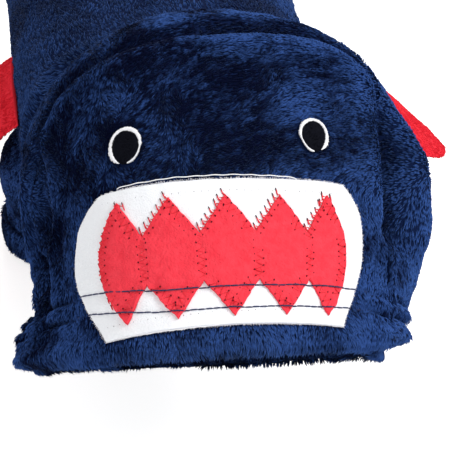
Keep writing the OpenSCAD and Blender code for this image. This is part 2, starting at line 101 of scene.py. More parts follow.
def ring_normals(rings):
    """Normals of a surface given as closed rings of points."""
    return unit(np.cross(np.gradient(rings, axis=0), np.roll(rings, -1, 1) - np.roll(rings, 1, 1)))


def kept(mask, grids):
    return [g[mask] for g in grids]


def noise(points, size, seed, count=14):
    """Smooth random field from about -1 to 1 over points, with features about size across."""
    r = np.random.default_rng(seed)
    waves = unit(r.normal(size=(count, points.shape[-1]))) * (2 * math.pi / size)
    waves = waves * r.uniform(0.6, 1.5, (count, 1))
    return np.sin(points @ waves.T + r.uniform(0, 2 * math.pi, count)).sum(-1) / math.sqrt(count) * 0.9


def mesh(name, verts, faces, material, smooth=True, tips=None):
    me = bpy.data.meshes.new(name)
    verts = np.asarray(verts, float).reshape(-1, 3)
    loops = np.concatenate([np.asarray(f).ravel() for f in faces]).astype(np.int32)
    sizes = np.concatenate([np.full(len(f), f.shape[1]) for f in faces])
    starts = np.concatenate([[0], np.cumsum(sizes)[:-1]]).astype(np.int32)
    me.vertices.add(len(verts))
    me.vertices.foreach_set("co", (verts * MM).astype(np.float32).ravel())
    me.loops.add(len(loops))
    me.loops.foreach_set("vertex_index", loops)
    me.polygons.add(len(sizes))
    me.polygons.foreach_set("loop_start", starts)
    me.update(calc_edges=True)
    me.polygons.foreach_set("use_smooth", np.full(len(sizes), smooth))
    if tips is not None:
        me.attributes.new("tip", "FLOAT", "POINT").data.foreach_set("value", tips.astype(np.float32))
    me.materials.append(material)
    ob = bpy.data.objects.new(name, me)
    bpy.context.scene.collection.objects.link(ob)
    return ob


def placed(ob, body, slot, *nodes):
    """Ride a piece on a body and hide the CAD nodes that it stands for. The slot is not used. A body may also
    be
    a bend: the two bodies and the two points of the bend; then the piece is only baked in place, and rides on
    no body."""
    if isinstance(body, str):
        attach(ob, body)
    else:
        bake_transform(ob)
    if nodes:
        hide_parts(*nodes)
    return ob


def quads(rows, cols, closed=False):
    """Faces of a grid of points; closed joins its last column to the first."""
    i, j = np.meshgrid(np.arange(rows - 1), np.arange(cols if closed else cols - 1), indexing="ij")
    k = (j + 1) % cols
    return np.stack([i * cols + j, i * cols + k, (i + 1) * cols + k, (i + 1) * cols + j], -1).reshape(-1, 4)


def rim(a, b):
    """Faces between two lines of point numbers."""
    return np.stack([a[:-1], a[1:], b[1:], b[:-1]], -1)


def shell_parts(outer, inner, closed=False):
    """Points and faces of closed cloth between two grids; closed joins the last column to the first."""
    m, n = outer.shape[:2]
    o = np.arange(m * n).reshape(m, n)
    k = o + m * n
    ring = (lambda r: np.append(r, r[0])) if closed else (lambda r: r)
    faces = [quads(m, n, closed), quads(m, n, closed)[:, ::-1] + m * n,
             rim(ring(k[0]), ring(o[0])), rim(ring(o[-1]), ring(k[-1]))]
    if not closed:
        faces += [rim(o[:, 0], k[:, 0]), rim(k[:, -1], o[:, -1])]
    return np.concatenate([outer.reshape(-1, 3), inner.reshape(-1, 3)]), np.concatenate(faces)


def closed_mesh(name, points, faces, material):
    """Mesh of a closed piece, its faces turned to look outwards."""
    points = np.asarray(points, float).reshape(-1, 3)
    q = points - points.mean(0)
    volume = sum((np.cross(q[f[:, 0]], q[f[:, k]]) * q[f[:, k + 1]]).sum()
                 for f in faces for k in range(1, f.shape[1] - 1))
    return mesh(name, points, faces if volume > 0 else [f[:, ::-1] for f in faces], material)


def shell(name, outer, inner, material, closed=False):
    pts, faces = shell_parts(outer, inner, closed)
    return closed_mesh(name, pts, [faces], material)


def band(name, rings, material):
    """Closed hollow ring: each row is a closed line of points, and the last row joins the first."""
    m, n = rings.shape[:2]
    return closed_mesh(name, rings, [quads(m + 1, n, True) % (m * n)], material)


def lofted(name, rings, material):
    """Solid through closed rings, its two ends closed by a point in their middle."""
    m, n = rings.shape[:2]
    pts = np.concatenate([rings.reshape(-1, 3), rings[:1].mean(1), rings[-1:].mean(1)])
    j = np.arange(n)
    k = (j + 1) % n
    ends = np.concatenate([np.stack([k, j, np.full(n, m * n)], -1),
                           np.stack([(m - 1) * n + j, (m - 1) * n + k, np.full(n, m * n + 1)], -1)])
    return closed_mesh(name, pts, [quads(m, n, True), ends], material)


def scatter(grids, count, seed):
    """Random places on a grid of points, spread evenly by area. The first grid is the points, and the rest
    come along."""
    r = np.random.default_rng(seed)
    q = grids[0]
    area = np.linalg.norm(np.cross(q[1:, 1:] - q[:-1, :-1], q[1:, :-1] - q[:-1, 1:]), axis=-1).ravel()
    at = np.searchsorted(np.cumsum(area) / area.sum(), r.uniform(0, 1, count))
    i, j = np.divmod(np.clip(at, 0, len(area) - 1), q.shape[1] - 1)
    s, t = r.uniform(0, 1, (2, count))
    weights = [(1 - s) * (1 - t), s * (1 - t), (1 - s) * t, s * t]
    out = []
    for g in grids:
        w = [x[:, None] for x in weights] if g.ndim == 3 else weights
        out.append(w[0] * g[i, j] + w[1] * g[i + 1, j] + w[2] * g[i, j + 1] + w[3] * g[i + 1, j + 1])
    return out


TUFT_LIMIT = 18000      # tufts in one piece


def tufts(name, at, normal, along, length, width, tone, material, body, slot="navy_plush", sink=0.22):
    """Pieces of pile: closed tapered tufts, bent a little towards the cloth. Tone runs from 0 dark to 1."""
    along = unit(along)
    side = unit(np.cross(along, normal))
    up = unit(np.cross(side, along))
    wide, long = width[:, None], length[:, None]
    root = at - normal * sink
    ring = [side * wide * 0.5 - up * wide * 0.22, up * wide * 0.42, -side * wide * 0.5 - up * wide * 0.22]
    middle = at + along * long * 0.55 + normal * wide * 0.1
    top = at + along * long - normal * long * 0.07
    points = np.stack([root + r for r in ring] + [middle + r * 0.92 for r in ring] + [top], 1)
    tone = tone[:, None]
    # tip climbs each tuft from painted shade at its root to its tip, scaled by the tone, which carries
    # painted light and shade
    tips = np.array([0.05, 0.05, 0.05, 0.65, 0.65, 0.65, 1.0]) * (0.04 + 0.96 * tone) + 0.2 * (tone - 0.5)
    pieces = max(1, -(-len(at) // TUFT_LIMIT))
    for i, part in enumerate(np.array_split(np.arange(len(at)), pieces)):
        base = (np.arange(len(part)) * 7)[:, None]
        sides = np.concatenate([base + np.array([f]) for f in ([0, 1, 4, 3], [1, 2, 5, 4], [2, 0, 3, 5])])
        ends = np.concatenate([base + np.array([f]) for f in ([2, 1, 0], [3, 4, 6], [4, 5, 6], [5, 3, 6])])
        title = name if pieces == 1 else f"{name}_{i + 1}"
        placed(mesh(title, points[part], [sides, ends], material, tips=tips[part].ravel()), body, slot)


def threads(name, paths, normals, radius, material, sides=5, ends=0.55):
    """Closed round threads, one along each row of points."""
    n, k = paths.shape[:2]
    tangent = unit(np.gradient(paths, axis=1))
    side = unit(np.cross(tangent, np.broadcast_to(normals, paths.shape)))
    up = np.cross(side, tangent)
    a = np.arange(sides)[:, None] * 2 * math.pi / sides
    taper = np.array([ends] + [1.0] * (k - 2) + [ends])[None, :, None, None]
    r = np.asarray(radius, float).reshape(-1, 1, 1, 1)
    ring = paths[:, :, None] + r * taper * (side[:, :, None] * np.cos(a) + up[:, :, None] * np.sin(a))
    base = (np.arange(n) * k * sides)[:, None]
    i, j = [x.ravel() for x in np.meshgrid(np.arange(k - 1), np.arange(sides), indexing="ij")]
    j2 = (j + 1) % sides
    q = np.stack([i * sides + j, (i + 1) * sides + j, (i + 1) * sides + j2, i * sides + j2], -1)
    q = (base[:, :, None] + q[None]).reshape(-1, 4)
    lids = np.concatenate([base + np.arange(sides), base + (k - 1) * sides + np.arange(sides)[::-1]])
    return mesh(name, ring, [q, lids], material)


STITCH = 2.6            # length of a machine stitch


def stitch_places(run, inset, points):
    """Places along a run for a row of stitches, points of them in each stitch."""
    count = int(run[-1] / STITCH)
    return (np.arange(count)[:, None] + np.linspace(inset, 1 - inset, points)[None]) / count * run[-1]


def stitch_row(name, q, n, lift, radius, body):
    """A row of navy stitches along a line of points and its normals."""
    run = run_along(q)
    at = stitch_places(run, 0.05, 5)
    q, n = [np.stack([np.interp(at, run, x[:, k]) for k in range(3)], -1) for x in (q, n)]
    arch = lift * np.sin(np.pi * np.linspace(0, 1, 5)) ** 0.5 - 0.1
    n = unit(n)
    placed(threads(name, q + n * arch[:, None], n, radius, navy_thread), body, "navy_plush")


def solid(ob):
    """The piece's modifiers applied, with no modifier left on it."""
    bpy.context.view_layer.update()
    me = bpy.data.meshes.new_from_object(ob.evaluated_get(bpy.context.evaluated_depsgraph_get()))
    old, ob.data = ob.data, me
    ob.modifiers.clear()
    bpy.data.meshes.remove(old)
    me.polygons.foreach_set("use_smooth", np.full(len(me.polygons), True))
    return ob


# ---- materials ---------------------------------------------------------------

def math_node(tree, operation, *values, clamp=False):
    """Output of a new Math node; each value is a number or another node's output."""
    node = tree.nodes.new("ShaderNodeMath")
    node.operation, node.use_clamp = operation, clamp
    for socket, value in zip(node.inputs, values):
        if isinstance(value, (int, float)):
            socket.default_value = value
        else:
            tree.links.new(value, socket)
    return node.outputs[0]


def material(name, root, tip=None, rough=0.8, sheen=0.0, sheen_tint=(1, 1, 1), patches=0.2, patch_mm=9.0,
             bump=0.0, bump_mm=0.8, tipped=False, shine=0.2):
    """Cloth, felt or thread: two colours mixed by soft patches, or up each tuft of pile from a root colour of
    painted shade to the tip colour, with a fine bump.
    """
    m = bpy.data.materials.new(name)
    m.use_nodes = True
    nodes, link = m.node_tree.nodes, m.node_tree.links.new
    shader = nodes["Principled BSDF"]
    for socket, value in (("Roughness", rough), ("Specular IOR Level", shine), ("Sheen Weight", sheen),
                          ("Sheen Roughness", 0.35), ("Sheen Tint", (*sheen_tint, 1))):
        shader.inputs[socket].default_value = value
    place = nodes.new("ShaderNodeTexCoord")
    cloud = nodes.new("ShaderNodeTexNoise")
    cloud.inputs["Scale"].default_value = 1000 / patch_mm
    cloud.inputs["Detail"].default_value = 3
    link(place.outputs["Object"], cloud.inputs["Vector"])
    share = math_node(m.node_tree, "MULTIPLY_ADD", cloud.outputs["Fac"], patches * 2,
                      -patches if tipped else 0.5 - patches, clamp=not tipped)
    if tipped:
        height = nodes.new("ShaderNodeAttribute")
        height.attribute_name = "tip"
        share = math_node(m.node_tree, "ADD", height.outputs["Fac"], share, clamp=True)
    blend = nodes.new("ShaderNodeMix")
    blend.data_type = "RGBA"
    link(share, blend.inputs["Factor"])
    blend.inputs["A"].default_value = (*root, 1)
    blend.inputs["B"].default_value = (*(tip or root), 1)
    link(blend.outputs["Result"], shader.inputs["Base Color"])
    if bump:
        fine = nodes.new("ShaderNodeTexNoise")
        fine.inputs["Scale"].default_value = 1000 / bump_mm
        fine.inputs["Detail"].default_value = 2
        link(place.outputs["Object"], fine.inputs["Vector"])
        relief = nodes.new("ShaderNodeBump")
        relief.inputs["Strength"].default_value = bump
        relief.inputs["Distance"].default_value = 0.0006
        link(fine.outputs["Fac"], relief.inputs["Height"])
        link(relief.outputs["Normal"], shader.inputs["Normal"])
    return m


BLUE_SHEEN = (0.30, 0.52, 1.0)
# the navy cloth is kept dark as painted shade under the pile, where it shows between the tufts; the tapes,
# bands, edges and tail share its colour
navy_cloth_and_shade = material("navy_cloth_and_shade", (0.0015, 0.005, 0.026), (0.004, 0.013, 0.058), sheen=0.1,
                      sheen_tint=BLUE_SHEEN, bump=0.6, shine=0.05)
# navy_pile, red_pile and white_fuzz: the root colour is painted shade deep in the pile, mixing to the tip
# colour up each tuft
navy_pile = material("navy_pile", (0.0005, 0.0020, 0.017), (0.040, 0.104, 0.350), sheen=0.1,
                     sheen_tint=BLUE_SHEEN, patches=0.08, tipped=True, shine=0.05)
navy_thread = material("navy_thread", (0.010, 0.014, 0.06), (0.02, 0.03, 0.10), rough=0.5, sheen=0.2)
red_cloth = material("red_cloth", (0.70, 0.016, 0.030), (0.86, 0.030, 0.050), bump=0.4, bump_mm=0.6,
                     shine=0.05)
red_pile = material("red_pile", (0.66, 0.012, 0.025), (0.93, 0.045, 0.070), patches=0.08, tipped=True,
                    shine=0.05)
red_felt = material("red_felt", (0.78, 0.028, 0.048), (0.93, 0.068, 0.096), bump=0.9, patches=0.5,
                    patch_mm=2.6, shine=0.05)
red_thread = material("red_thread", (0.64, 0.010, 0.025), (0.84, 0.03, 0.05), rough=0.45, sheen=0.2)
knot_thread = material("knot_thread", (0.02, 0.002, 0.006), (0.07, 0.004, 0.012), rough=0.8, shine=0.05)
white_felt = material("white_felt", (0.84, 0.86, 0.90), (0.92, 0.93, 0.95), bump=0.5, bump_mm=0.6,
                      patches=0.3, patch_mm=2.2)
white_fuzz = material("white_fuzz", (0.82, 0.80, 0.86), (0.92, 0.90, 0.94), tipped=True)
white_thread = material("white_thread", (0.82, 0.82, 0.86), (0.93, 0.93, 0.95), rough=0.45, sheen=0.2)
black_thread = material("black_thread", (0.0015, 0.0015, 0.003), (0.010, 0.011, 0.018), rough=0.6,
                        patches=0.5, patch_mm=0.8, shine=0.02)
hook_plastic = material("hook_plastic", (0.01, 0.013, 0.03), (0.02, 0.026, 0.06), rough=0.35)


# ---- the hood's form ---------------------------------------------------------
NECK_TILT = 16.6        # the neck leans back from upright
NECK_FAN = 90 - NECK_TILT
HEM = 137.0             # fan angle of the face edge
FAN_DROP = 81.3         # the fan's axis lies this far under the neck's middle
FAN_Y = -FAN_DROP * cosd(NECK_FAN)
FAN_Z = -FAN_DROP * sind(NECK_FAN)
CROWN, HALF, NECK_R = 166.0, 73.0, 55.5
CLOTH = 3.0             # wall of every cloth
# Fan angle, distance of top, widest line and throat from the fan axis, half width
RINGS = np.array([
    [NECK_FAN, FAN_DROP + NECK_R, FAN_DROP, FAN_DROP - NECK_R, NECK_R],
    [84, CROWN - 6, 90, 24, HALF - 6], [92, CROWN, 94, 25, HALF - 1], [100, CROWN - 2, 92, 28, HALF],
    [108, CROWN - 6, 88, 33, HALF - 1], [116, CROWN - 11, 84, 37.5, HALF - 1.5],
    [124, CROWN - 15.5, 80, 41, HALF - 2], [132, CROWN - 16, 81, 45, HALF - 4],
    [HEM, CROWN - 15.3, 82, 47, HALF - 5]])


def smooth(table, x, col):
    """A table's column at x, on a smooth curve through its rows."""
    n = len(table)
    value = table[:, col]
    i = np.clip(np.searchsorted(table[:, 0], x, side="right") - 1, 0, n - 2)
    before, after = np.maximum(np.arange(n) - 1, 0), np.minimum(np.arange(n) + 1, n - 1)
    slope = (value[after] - value[before]) / (table[after, 0] - table[before, 0])
    h = table[i + 1, 0] - table[i, 0]
    t = (x - table[i, 0]) / h
    return ((2 * t ** 3 - 3 * t * t + 1) * value[i] + (t ** 3 - 2 * t * t + t) * h * slope[i]
            + (3 * t * t - 2 * t ** 3) * value[i + 1] + (t ** 3 - t * t) * h * slope[i + 1])


def hood_form(b, p):
    """The hood's cut form: a fan of rings about an axis under the throat."""
    top, mid, low, half = [smooth(RINGS, b, c) for c in (1, 2, 3, 4)]
    up = sind(p)
    rho = mid + np.where(up >= 0, top - mid, mid - low) * up
    return np.stack([half * cosd(p), FAN_Y + rho * cosd(b), FAN_Z + rho * sind(b)], -1)


def hood_rho(b, p):
    """Distance from the fan's axis."""
    q = hood_form(np.asarray(b, float), np.asarray(p, float))
    return np.hypot(q[..., 1] - FAN_Y, q[..., 2] - FAN_Z)


# The seam between face panel and side panels: the side angles of its two feet, and how squarely it turns
SEAM_TOP = 92
FOOT_LEFT, FOOT_RIGHT = 30.0, 164.0
SQUARE_LEFT, SQUARE_RIGHT = 8.0, 10.0


def seam(p):
    """Fan angle of the seam at a side angle between its feet."""
    reach = np.where(p < 90, 90 - FOOT_LEFT, FOOT_RIGHT - 90)
    power = np.where(p < 90, SQUARE_LEFT, SQUARE_RIGHT)
    return SEAM_TOP + (HEM - SEAM_TOP) * np.minimum(np.abs(p - 90) / reach, 1) ** power


def seam_left(b):
    """Side angle of the seam's left limb at a fan angle."""
    return 90 - (90 - FOOT_LEFT) * np.clip((b - SEAM_TOP) / (HEM - SEAM_TOP), 0.001, 1) ** (1 / SQUARE_LEFT)


def past_seam(b, p):
    """Fan angle in front of the seam, behind it below zero."""
    return b - seam(np.clip(around(p, 90) + 90, 5, 175))


def rows_at(p):
    """Fan angles of the two rows of topstitch that hold the elastic's channel."""
    fall = ease(p, 100, 140)
    return 131.1 - 1.5 * fall, 128.3 - 1.7 * fall


def slack(b, p):
    """Broad pulls of the worn hood: (height, side angle, spread, fan angle, spread)."""
    rise = ease(b, NECK_FAN, 104)
    pulls = ((8.6, 10, 38, 110, 26), (-15.0, 170, 38, 110, 26), (-4.8, 90, 45, 98, 16),
             (-4.3, -5, 30, 134, 14), (3.4, 185, 30, 134, 14), (10.5, 48, 25, 98, 16), (1.3, 132, 25, 98, 16))
    return rise * sum(height * bell(around(p, at), 0, wide) * bell(b, fan, deep)
                      for height, at, wide, fan, deep in pulls)


def gathers(b, p):
    """Long standing folds on the side where the hood is pushed back."""
    first = 148 + 8 * bell(b, 116.5, 3.5)
    second = 146 + 28 * ease(b, 92, 103) - 10 * ease(b, 108, 115)
    third = second + 20
    here = ease(b, 90, 97) * (1 - ease(b, 124, 131))
    ridge = [bell(around(p, line), 0, wide) for line, wide in ((first, 3.4), (second, 4.2), (third, 5.0))]
    vale = [bell(around(p, line), 0, wide) for line, wide in
            ((first + 6.5, 3.0), ((first + second) / 2 + 5, 4.0), (second + 9, 4.0))]
    apart = ease(second - first, 4, 16)
    return here * (2.9 * ridge[0] + 3.0 * ridge[1] * apart + 3.2 * ridge[2]
                   - 3.4 * vale[0] - 2.4 * vale[1] * apart - 3.8 * vale[2])


def folds(b, p):
    """How far the worn cloth stands off its cut form."""
    k = slack(b, p) + gathers(b, p)
    # the sewn seam: both panels roll into it
    near = past_seam(b, p)
    limb = np.where(around(p, 90) > 0, 0.35, 1.0)
    k = k + limb * (-4.0 * bell(near, -0.4, 1.1) + 2.0 * bell(near, 2.8, 2.2) + 1.2 * bell(near, -3.4, 1.8))
    # deep fold where the side panel tucks in behind the face panel
    line = seam_left(b) - 2.5
    deep = ease(b, 97, 104) * (1 - ease(b, 115, 121))
    k = k + deep * (1.4 * bell(around(p, line + 10), 0, 5) - 14.0 * bell(around(p, line), 0, 5.2)
                    + 5.0 * bell(around(p, line - 13), 0, 8))
    # soft dents of the slack cheek below it
    k = k - 1.6 * bell(b, 118.5, 2.2) * bell(around(p, 34), 0, 7)
    # a crease across the other cheek, with the slack of the face edge under it
    k = k - 5.5 * bell(b, 121.0 + 0.1 * around(p, 178), 2.0) * bell(around(p, 178), 0, 15)
    k = k + 4.2 * bell(b, 130.5, 4.2) * bell(around(p, 180), 0, 20)
    # pressed rows along the elastic, and the cloth gathered between and below them
    low, high = rows_at(p)
    free = ease(np.abs(around(p, 90)), 44, 58)
    k = k - (0.12 + 2.0 * free) * (bell(b, low, 0.5) + bell(b, high, 0.5))
    k = k + (0.2 + 1.4 * free) * bell(b, (low + high) / 2, 0.8) + (1.2 + 1.5 * free) * bell(b, 134.4, 1.6)
    wave = 0.7 * sind(p * 41) + 0.5 * sind(p * 67 + 50)
    k = k + 0.55 * free * bell(b, 132, 4.5) * wave
    # small unevenness of the thick cloth
    q = hood_form(b, p)
    return k + 0.35 * noise(q, 22, 91) * (0.3 + free) + 0.12 * noise(q, 9, 92)


STEP_P, STEP_B = 0.35, 0.3      # steps over which the cloth's directions are measured
TURN, LEAN = -2.7, -0.7         # degrees by which the worn head is turned and leans


def hood_cloth(b, p):
    """The worn hood's outer face, before the head's turn and lean."""
    across = hood_form(b, p + STEP_P) - hood_form(b, p - STEP_P)
    fore = hood_form(b + STEP_B, p) - hood_form(b - STEP_B, p)
    return hood_form(b, p) + unit(np.cross(across, fore)) * folds(b, p)[..., None]


def worn(q, b):
    """Turn and lean the head, more towards the face."""
    rise = ease(b, NECK_FAN, NECK_FAN + 30)
    turn, lean = TURN * rise, LEAN * rise
    x, y, z = q[..., 0], q[..., 1], q[..., 2]
    x, y = x * cosd(turn) - y * sind(turn), x * sind(turn) + y * cosd(turn)
    x, z = x * cosd(lean) + z * sind(lean), z * cosd(lean) - x * sind(lean)
    return np.stack([x, y, z], -1)


def hood(b, p):
    """Points, normals and the direction towards the face edge, on the worn hood's outer face."""
    b, p = np.broadcast_arrays(np.asarray(b, float), np.asarray(p, float))
    across = worn(hood_cloth(b, p + STEP_P), b) - worn(hood_cloth(b, p - STEP_P), b)
    fore = worn(hood_cloth(b + STEP_B, p), b + STEP_B) - worn(hood_cloth(b - STEP_B, p), b - STEP_B)
    return worn(hood_cloth(b, p), b), unit(np.cross(across, fore)), unit(fore)


# ---- the face's own coordinates: s across and t up from the mouth's middle, on the cloth 
FACE_R = HALF - 2
MOUTH_B = 123.883


def drift(s, t):
    """How the worn cloth has shifted from its place on the cut form."""
    a, c = s / 50, t / 30
    return (3.77 - 0.39 * c - 2.98 * a * a + 0.48 * a * c + 0.10 * c * c - 2.47 * a,
            -0.19 - 0.46 * a + 1.55 * a * a - 0.46 * a * c - 0.59 * c * c + 0.15 * c)


def face_angles(s, t):
    ds, dt = drift(s, t)
    p = 90 - np.degrees((s + ds) / FACE_R)
    return MOUTH_B - np.degrees((t + dt) / hood_rho(np.full(np.shape(p), MOUTH_B), p)), p


def face_place(b, p):
    """s and t of a place on the hood."""
    s = s0 = -np.radians(around(p, 90)) * FACE_R
    t = t0 = np.radians(MOUTH_B - b) * hood_rho(np.full(np.shape(p), MOUTH_B), p)
    for _ in range(6):
        ds, dt = drift(np.clip(s, -75, 75), np.clip(t, -40, 70))
        s, t = s0 - ds, t0 - dt
    return s, t


def face(s, t, lift=0.0):
    """Point and normal at s and t, lifted off the cloth."""
    s, t = np.broadcast_arrays(np.asarray(s, float), np.asarray(t, float))
    q, n, _ = hood(*face_angles(s, t))
    return q + n * np.broadcast_to(lift, s.shape)[..., None], n


# ---- outlines of the mouth patch, the red felt and the eyes ------------------
PATCH_H = 51.0
PATCH_LOW, PATCH_TOP = 0.25, 1.6
FELT_LOW, FELT_TOP = 1.8, 2.8
PITCH, LAST = 19.8, 38.0
PEAK_UP, NOTCH_UP, PEAK_DOWN, NOTCH_DOWN = 20.0, 7.5, 21.5, 9.0
FELT_HALF, FELT_DRAWN = 46.3, 7.6
PEAKS = (-LAST, -PITCH, 0.0, PITCH, LAST)
NOTCHES = (-1.5 * PITCH, -0.5 * PITCH, 0.5 * PITCH, 1.5 * PITCH)


def patch_side(t, side):
    """Distance of the patch's side edge from the middle, at height t."""
    r = np.abs(t) / (PATCH_H / 2)
    up, low = ((59.0, 16.9, 2.7), (59.0, 11.8, 1.6)) if side < 0 else ((55.6, 13.0, 2.9), (55.6, 10.6, 1.6))
    shape = [wide - drawn * r ** power for wide, drawn, power in (up, low)]
    return np.where(t > 0, *shape)


def patch_half(s, t):
    """Distance from the middle to the side edge on the side where s lies."""
    return np.where(s < 0, patch_side(t, -1), patch_side(t, 1))


def patch_top(c):
    """Distance of the patch's upper edge above the middle, at share c across."""
    return PATCH_H / 2 * (1 - 0.05 * c * c - 0.02 * np.abs(c) ** 12)


def patch_foot(c):
    """Distance of the patch's lower edge below the middle, pulled down towards its ends."""
    return 24.2 - 0.62 * c + 1.12 * c * c


def patch_spot(c, r):
    """s and t at shares c across and r up the patch, both from -1 to 1."""
    t = r * np.where(r > 0, patch_top(c), patch_foot(c))
    ragged = 0.25 * np.sin(t * 3.1) * np.sin(t * 1.3) * np.abs(c) ** 8
    return c * patch_half(c, t) + ragged, t


def in_patch(s, t, margin=0.0):
    c = s / (patch_half(s, t) - margin)
    return (np.abs(c) < 1) & (t < patch_top(c) - margin) & (t > -patch_foot(c) + margin)


def felt_edges(s):
    """Heights of the red felt's lower and upper edge: joined diamonds, their outer ends rounded."""
    knots = sorted(PEAKS + NOTCHES)
    top = np.interp(s, knots, [PEAK_UP if k in PEAKS else NOTCH_UP for k in knots])
    low = np.interp(s, knots, [-PEAK_DOWN if k in PEAKS else -NOTCH_DOWN for k in knots])
    end = 20.6 * np.sqrt(np.clip((FELT_HALF - np.abs(s)) / (FELT_HALF - LAST), 0, 1))
    past = np.abs(s) > LAST
    return np.where(past, -1 - end, low), np.where(past, -0.6 + end, top)


def in_felt(s, t, margin=0.0):
    low, top = felt_edges(s)
    return (np.abs(s) < FELT_HALF) & (t > low + margin) & (t < top - margin)


def cloth_top(s, t):
    """Lift of the uppermost face at s and t: felt, patch or the pile's foot."""
    return np.where(in_felt(s, t), FELT_TOP, np.where(in_patch(s, t), PATCH_TOP, 0.5))


EYE_S, EYE_T, EYE_RX, EYE_RY = 34.0, 40.0, 5.3, 6.3
# the two eyes are sewn unevenly: how far each leans, in degrees, and its size
EYE_LEAN, EYE_SIZE = {-1: -22.0, 1: 27.0}, {-1: 1.16, 1: 0.98}


def eye_spot(side, u, v):
    """s and t at u outwards and v up in an eye's own frame."""
    lean = EYE_LEAN[side]
    u, v = u * side * EYE_SIZE[side], v * EYE_SIZE[side]
    return side * EYE_S + u * cosd(lean) - v * sind(lean), EYE_T + u * sind(lean) + v * cosd(lean)


def in_eye(s, t):
    hit = np.zeros(np.shape(s), bool)
    for side in (-1, 1):
        lean = EYE_LEAN[side]
        x, y = s - side * EYE_S, t - EYE_T
        u, v = x * cosd(lean) + y * sind(lean), y * cosd(lean) - x * sind(lean)
        hit |= (u / (EYE_RX * EYE_SIZE[side])) ** 2 + (v / (EYE_RY * EYE_SIZE[side])) ** 2 < 1
    return hit


# Cut size of the sewn cloth panels, and the flat area of each cut
PANEL_SIZES = {"face": ((0.200, 0.150), 0.0200), "side": ((0.220, 0.150), 0.0200),
               "back": ((0.230, 0.250), 0.0480), "belly_left": ((0.070, 0.250), 0.0140),
               "belly_right": ((0.070, 0.250), 0.0140)}


# ---- hood cloth --------------------------------------------------------------
ROLL = 2.7              # radius of the fold along the face edge
HEM_RHO = float(hood_rho(HEM, 40.0))
HEM_B = HEM - math.degrees(ROLL / HEM_RHO)


def hood_panel(name, b, p, node, flat, area):
    b, p = np.broadcast_arrays(b, p)
    q, n, fore = hood(b, p)
    ob = placed(shell(name, q, q - n * CLOTH, navy_cloth_and_shade), "hood", "navy_plush", node)
    return q, n, fore, b.astype(float), p.astype(float)


def side_front(p):
    """Fan angle of a side panel's front edge: the seam between its feet, and the face edge below them."""
    q = around(p, 90) + 90
    inside = (q > FOOT_LEFT + 0.6) & (q < FOOT_RIGHT - 0.6)
    return np.where(inside, np.minimum(seam(np.clip(q, FOOT_LEFT, FOOT_RIGHT)), HEM_B - 1.5), HEM_B)


face_p = mix(FOOT_LEFT + 0.6, FOOT_RIGHT - 0.6, np.linspace(0, 1, 200))
rows = np.linspace(0, 1, 130)[:, None]
face_grid = hood_panel("hood_face_cloth", mix(np.minimum(seam(face_p), HEM_B - 1.5), HEM_B, rows), face_p,
                       "hood_face_panel", *PANEL_SIZES["face"])
side_grids = {}
for name, start in (("left", -90.0), ("right", 90.0)):
    p = np.linspace(start, start + 180, 240)
    side_grids[name] = hood_panel("hood_side_cloth_" + name, mix(NECK_FAN, side_front(p), rows), p,
                                  "hood_side_" + name, *PANEL_SIZES["side"])

# the face edge: folded round and turned in, standing off over the elastic; each row of the profile is a
# distance back from the edge and a depth
ring_p = np.linspace(-90, 270, 541)[:-1]
turn = np.radians(np.linspace(0, 180, 11))
profile = [(ROLL + 1.2, 0.0)] + [(ROLL - ROLL * math.sin(a), ROLL - ROLL * math.cos(a)) for a in turn] \
    + [(a, 2 * ROLL + 0.7 * math.exp(-((a - 16.5) / 4) ** 2)) for a in (5, 8, 11, 13, 15, 17, 19, 22)] \
    + [(23.5, 2 * ROLL), (24.2, 4.2), (23.5, 3.1), (12, 3.1), (ROLL + 1.2, 3.1)]
arcs, depths = np.array(profile).T
hem_b, hem_p = np.broadcast_arrays((HEM - np.degrees(arcs / HEM_RHO))[:, None], ring_p)
q, n, fore = hood(hem_b, hem_p)
ring = q - n * depths[:, None, None]
placed(band("hood_face_edge", ring, navy_cloth_and_shade), "hood", "navy_plush", "hood_hem_facing", "face_elastic")
out_of = unit(np.gradient(ring, axis=0))
hem_normal = unit(np.cross(unit(np.gradient(ring, axis=1)), out_of))
hem_grid = [grid[:13] for grid in (ring, hem_normal, out_of, hem_b, hem_p)]


# ---- mouth -------------------------------------------------------------------

def spread(n):
    """n shares from -1 to 1, closer together at the ends."""
    x = np.linspace(-1, 1, n)
    to_end = (1 - np.abs(x)) / 0.2
    return np.where(to_end > 1, x * 0.95 / 0.8, np.sign(x) * (1 - 0.05 * to_end ** 1.6))


def rounded(edge, thick, radius=0.5):
    """How far a felt's top face drops at a distance from its cut edge."""
    x = np.clip(1 - edge / radius, 0, 1)
    return thick * 0.75 * (1 - np.sqrt(1 - x * x))


def resample(points, step, closed=False):
    """Points of a broken line at an even step, and the directions across it."""
    pts = np.array(list(points) + ([points[0]] if closed else []), float)
    run = run_along(pts)
    at = np.linspace(0, run[-1], max(2, round(run[-1] / step) + 1))
    if closed:
        at = at[:-1]
    q, before, after = [np.stack([np.interp(at + off, run, pts[:, k]) for k in (0, 1)], -1)
                        for off in (0, -0.05, 0.05)]
    along = unit(after - before)
    return q, np.stack([-along[:, 1], along[:, 0]], -1)


ZIGZAG_W, ZIGZAG_STEP = 3.0, 1.25
INSIDE, ASTRIDE, END_INSIDE = 2.1, 0.1, 1.2     # how far inside the felt's edges the runs lie


def felt_end(side, t):
    """Place of the red felt's rounded outer end at height t."""
    return side * (FELT_HALF - FELT_DRAWN * (np.abs(t + 1) / 20) ** 2), t


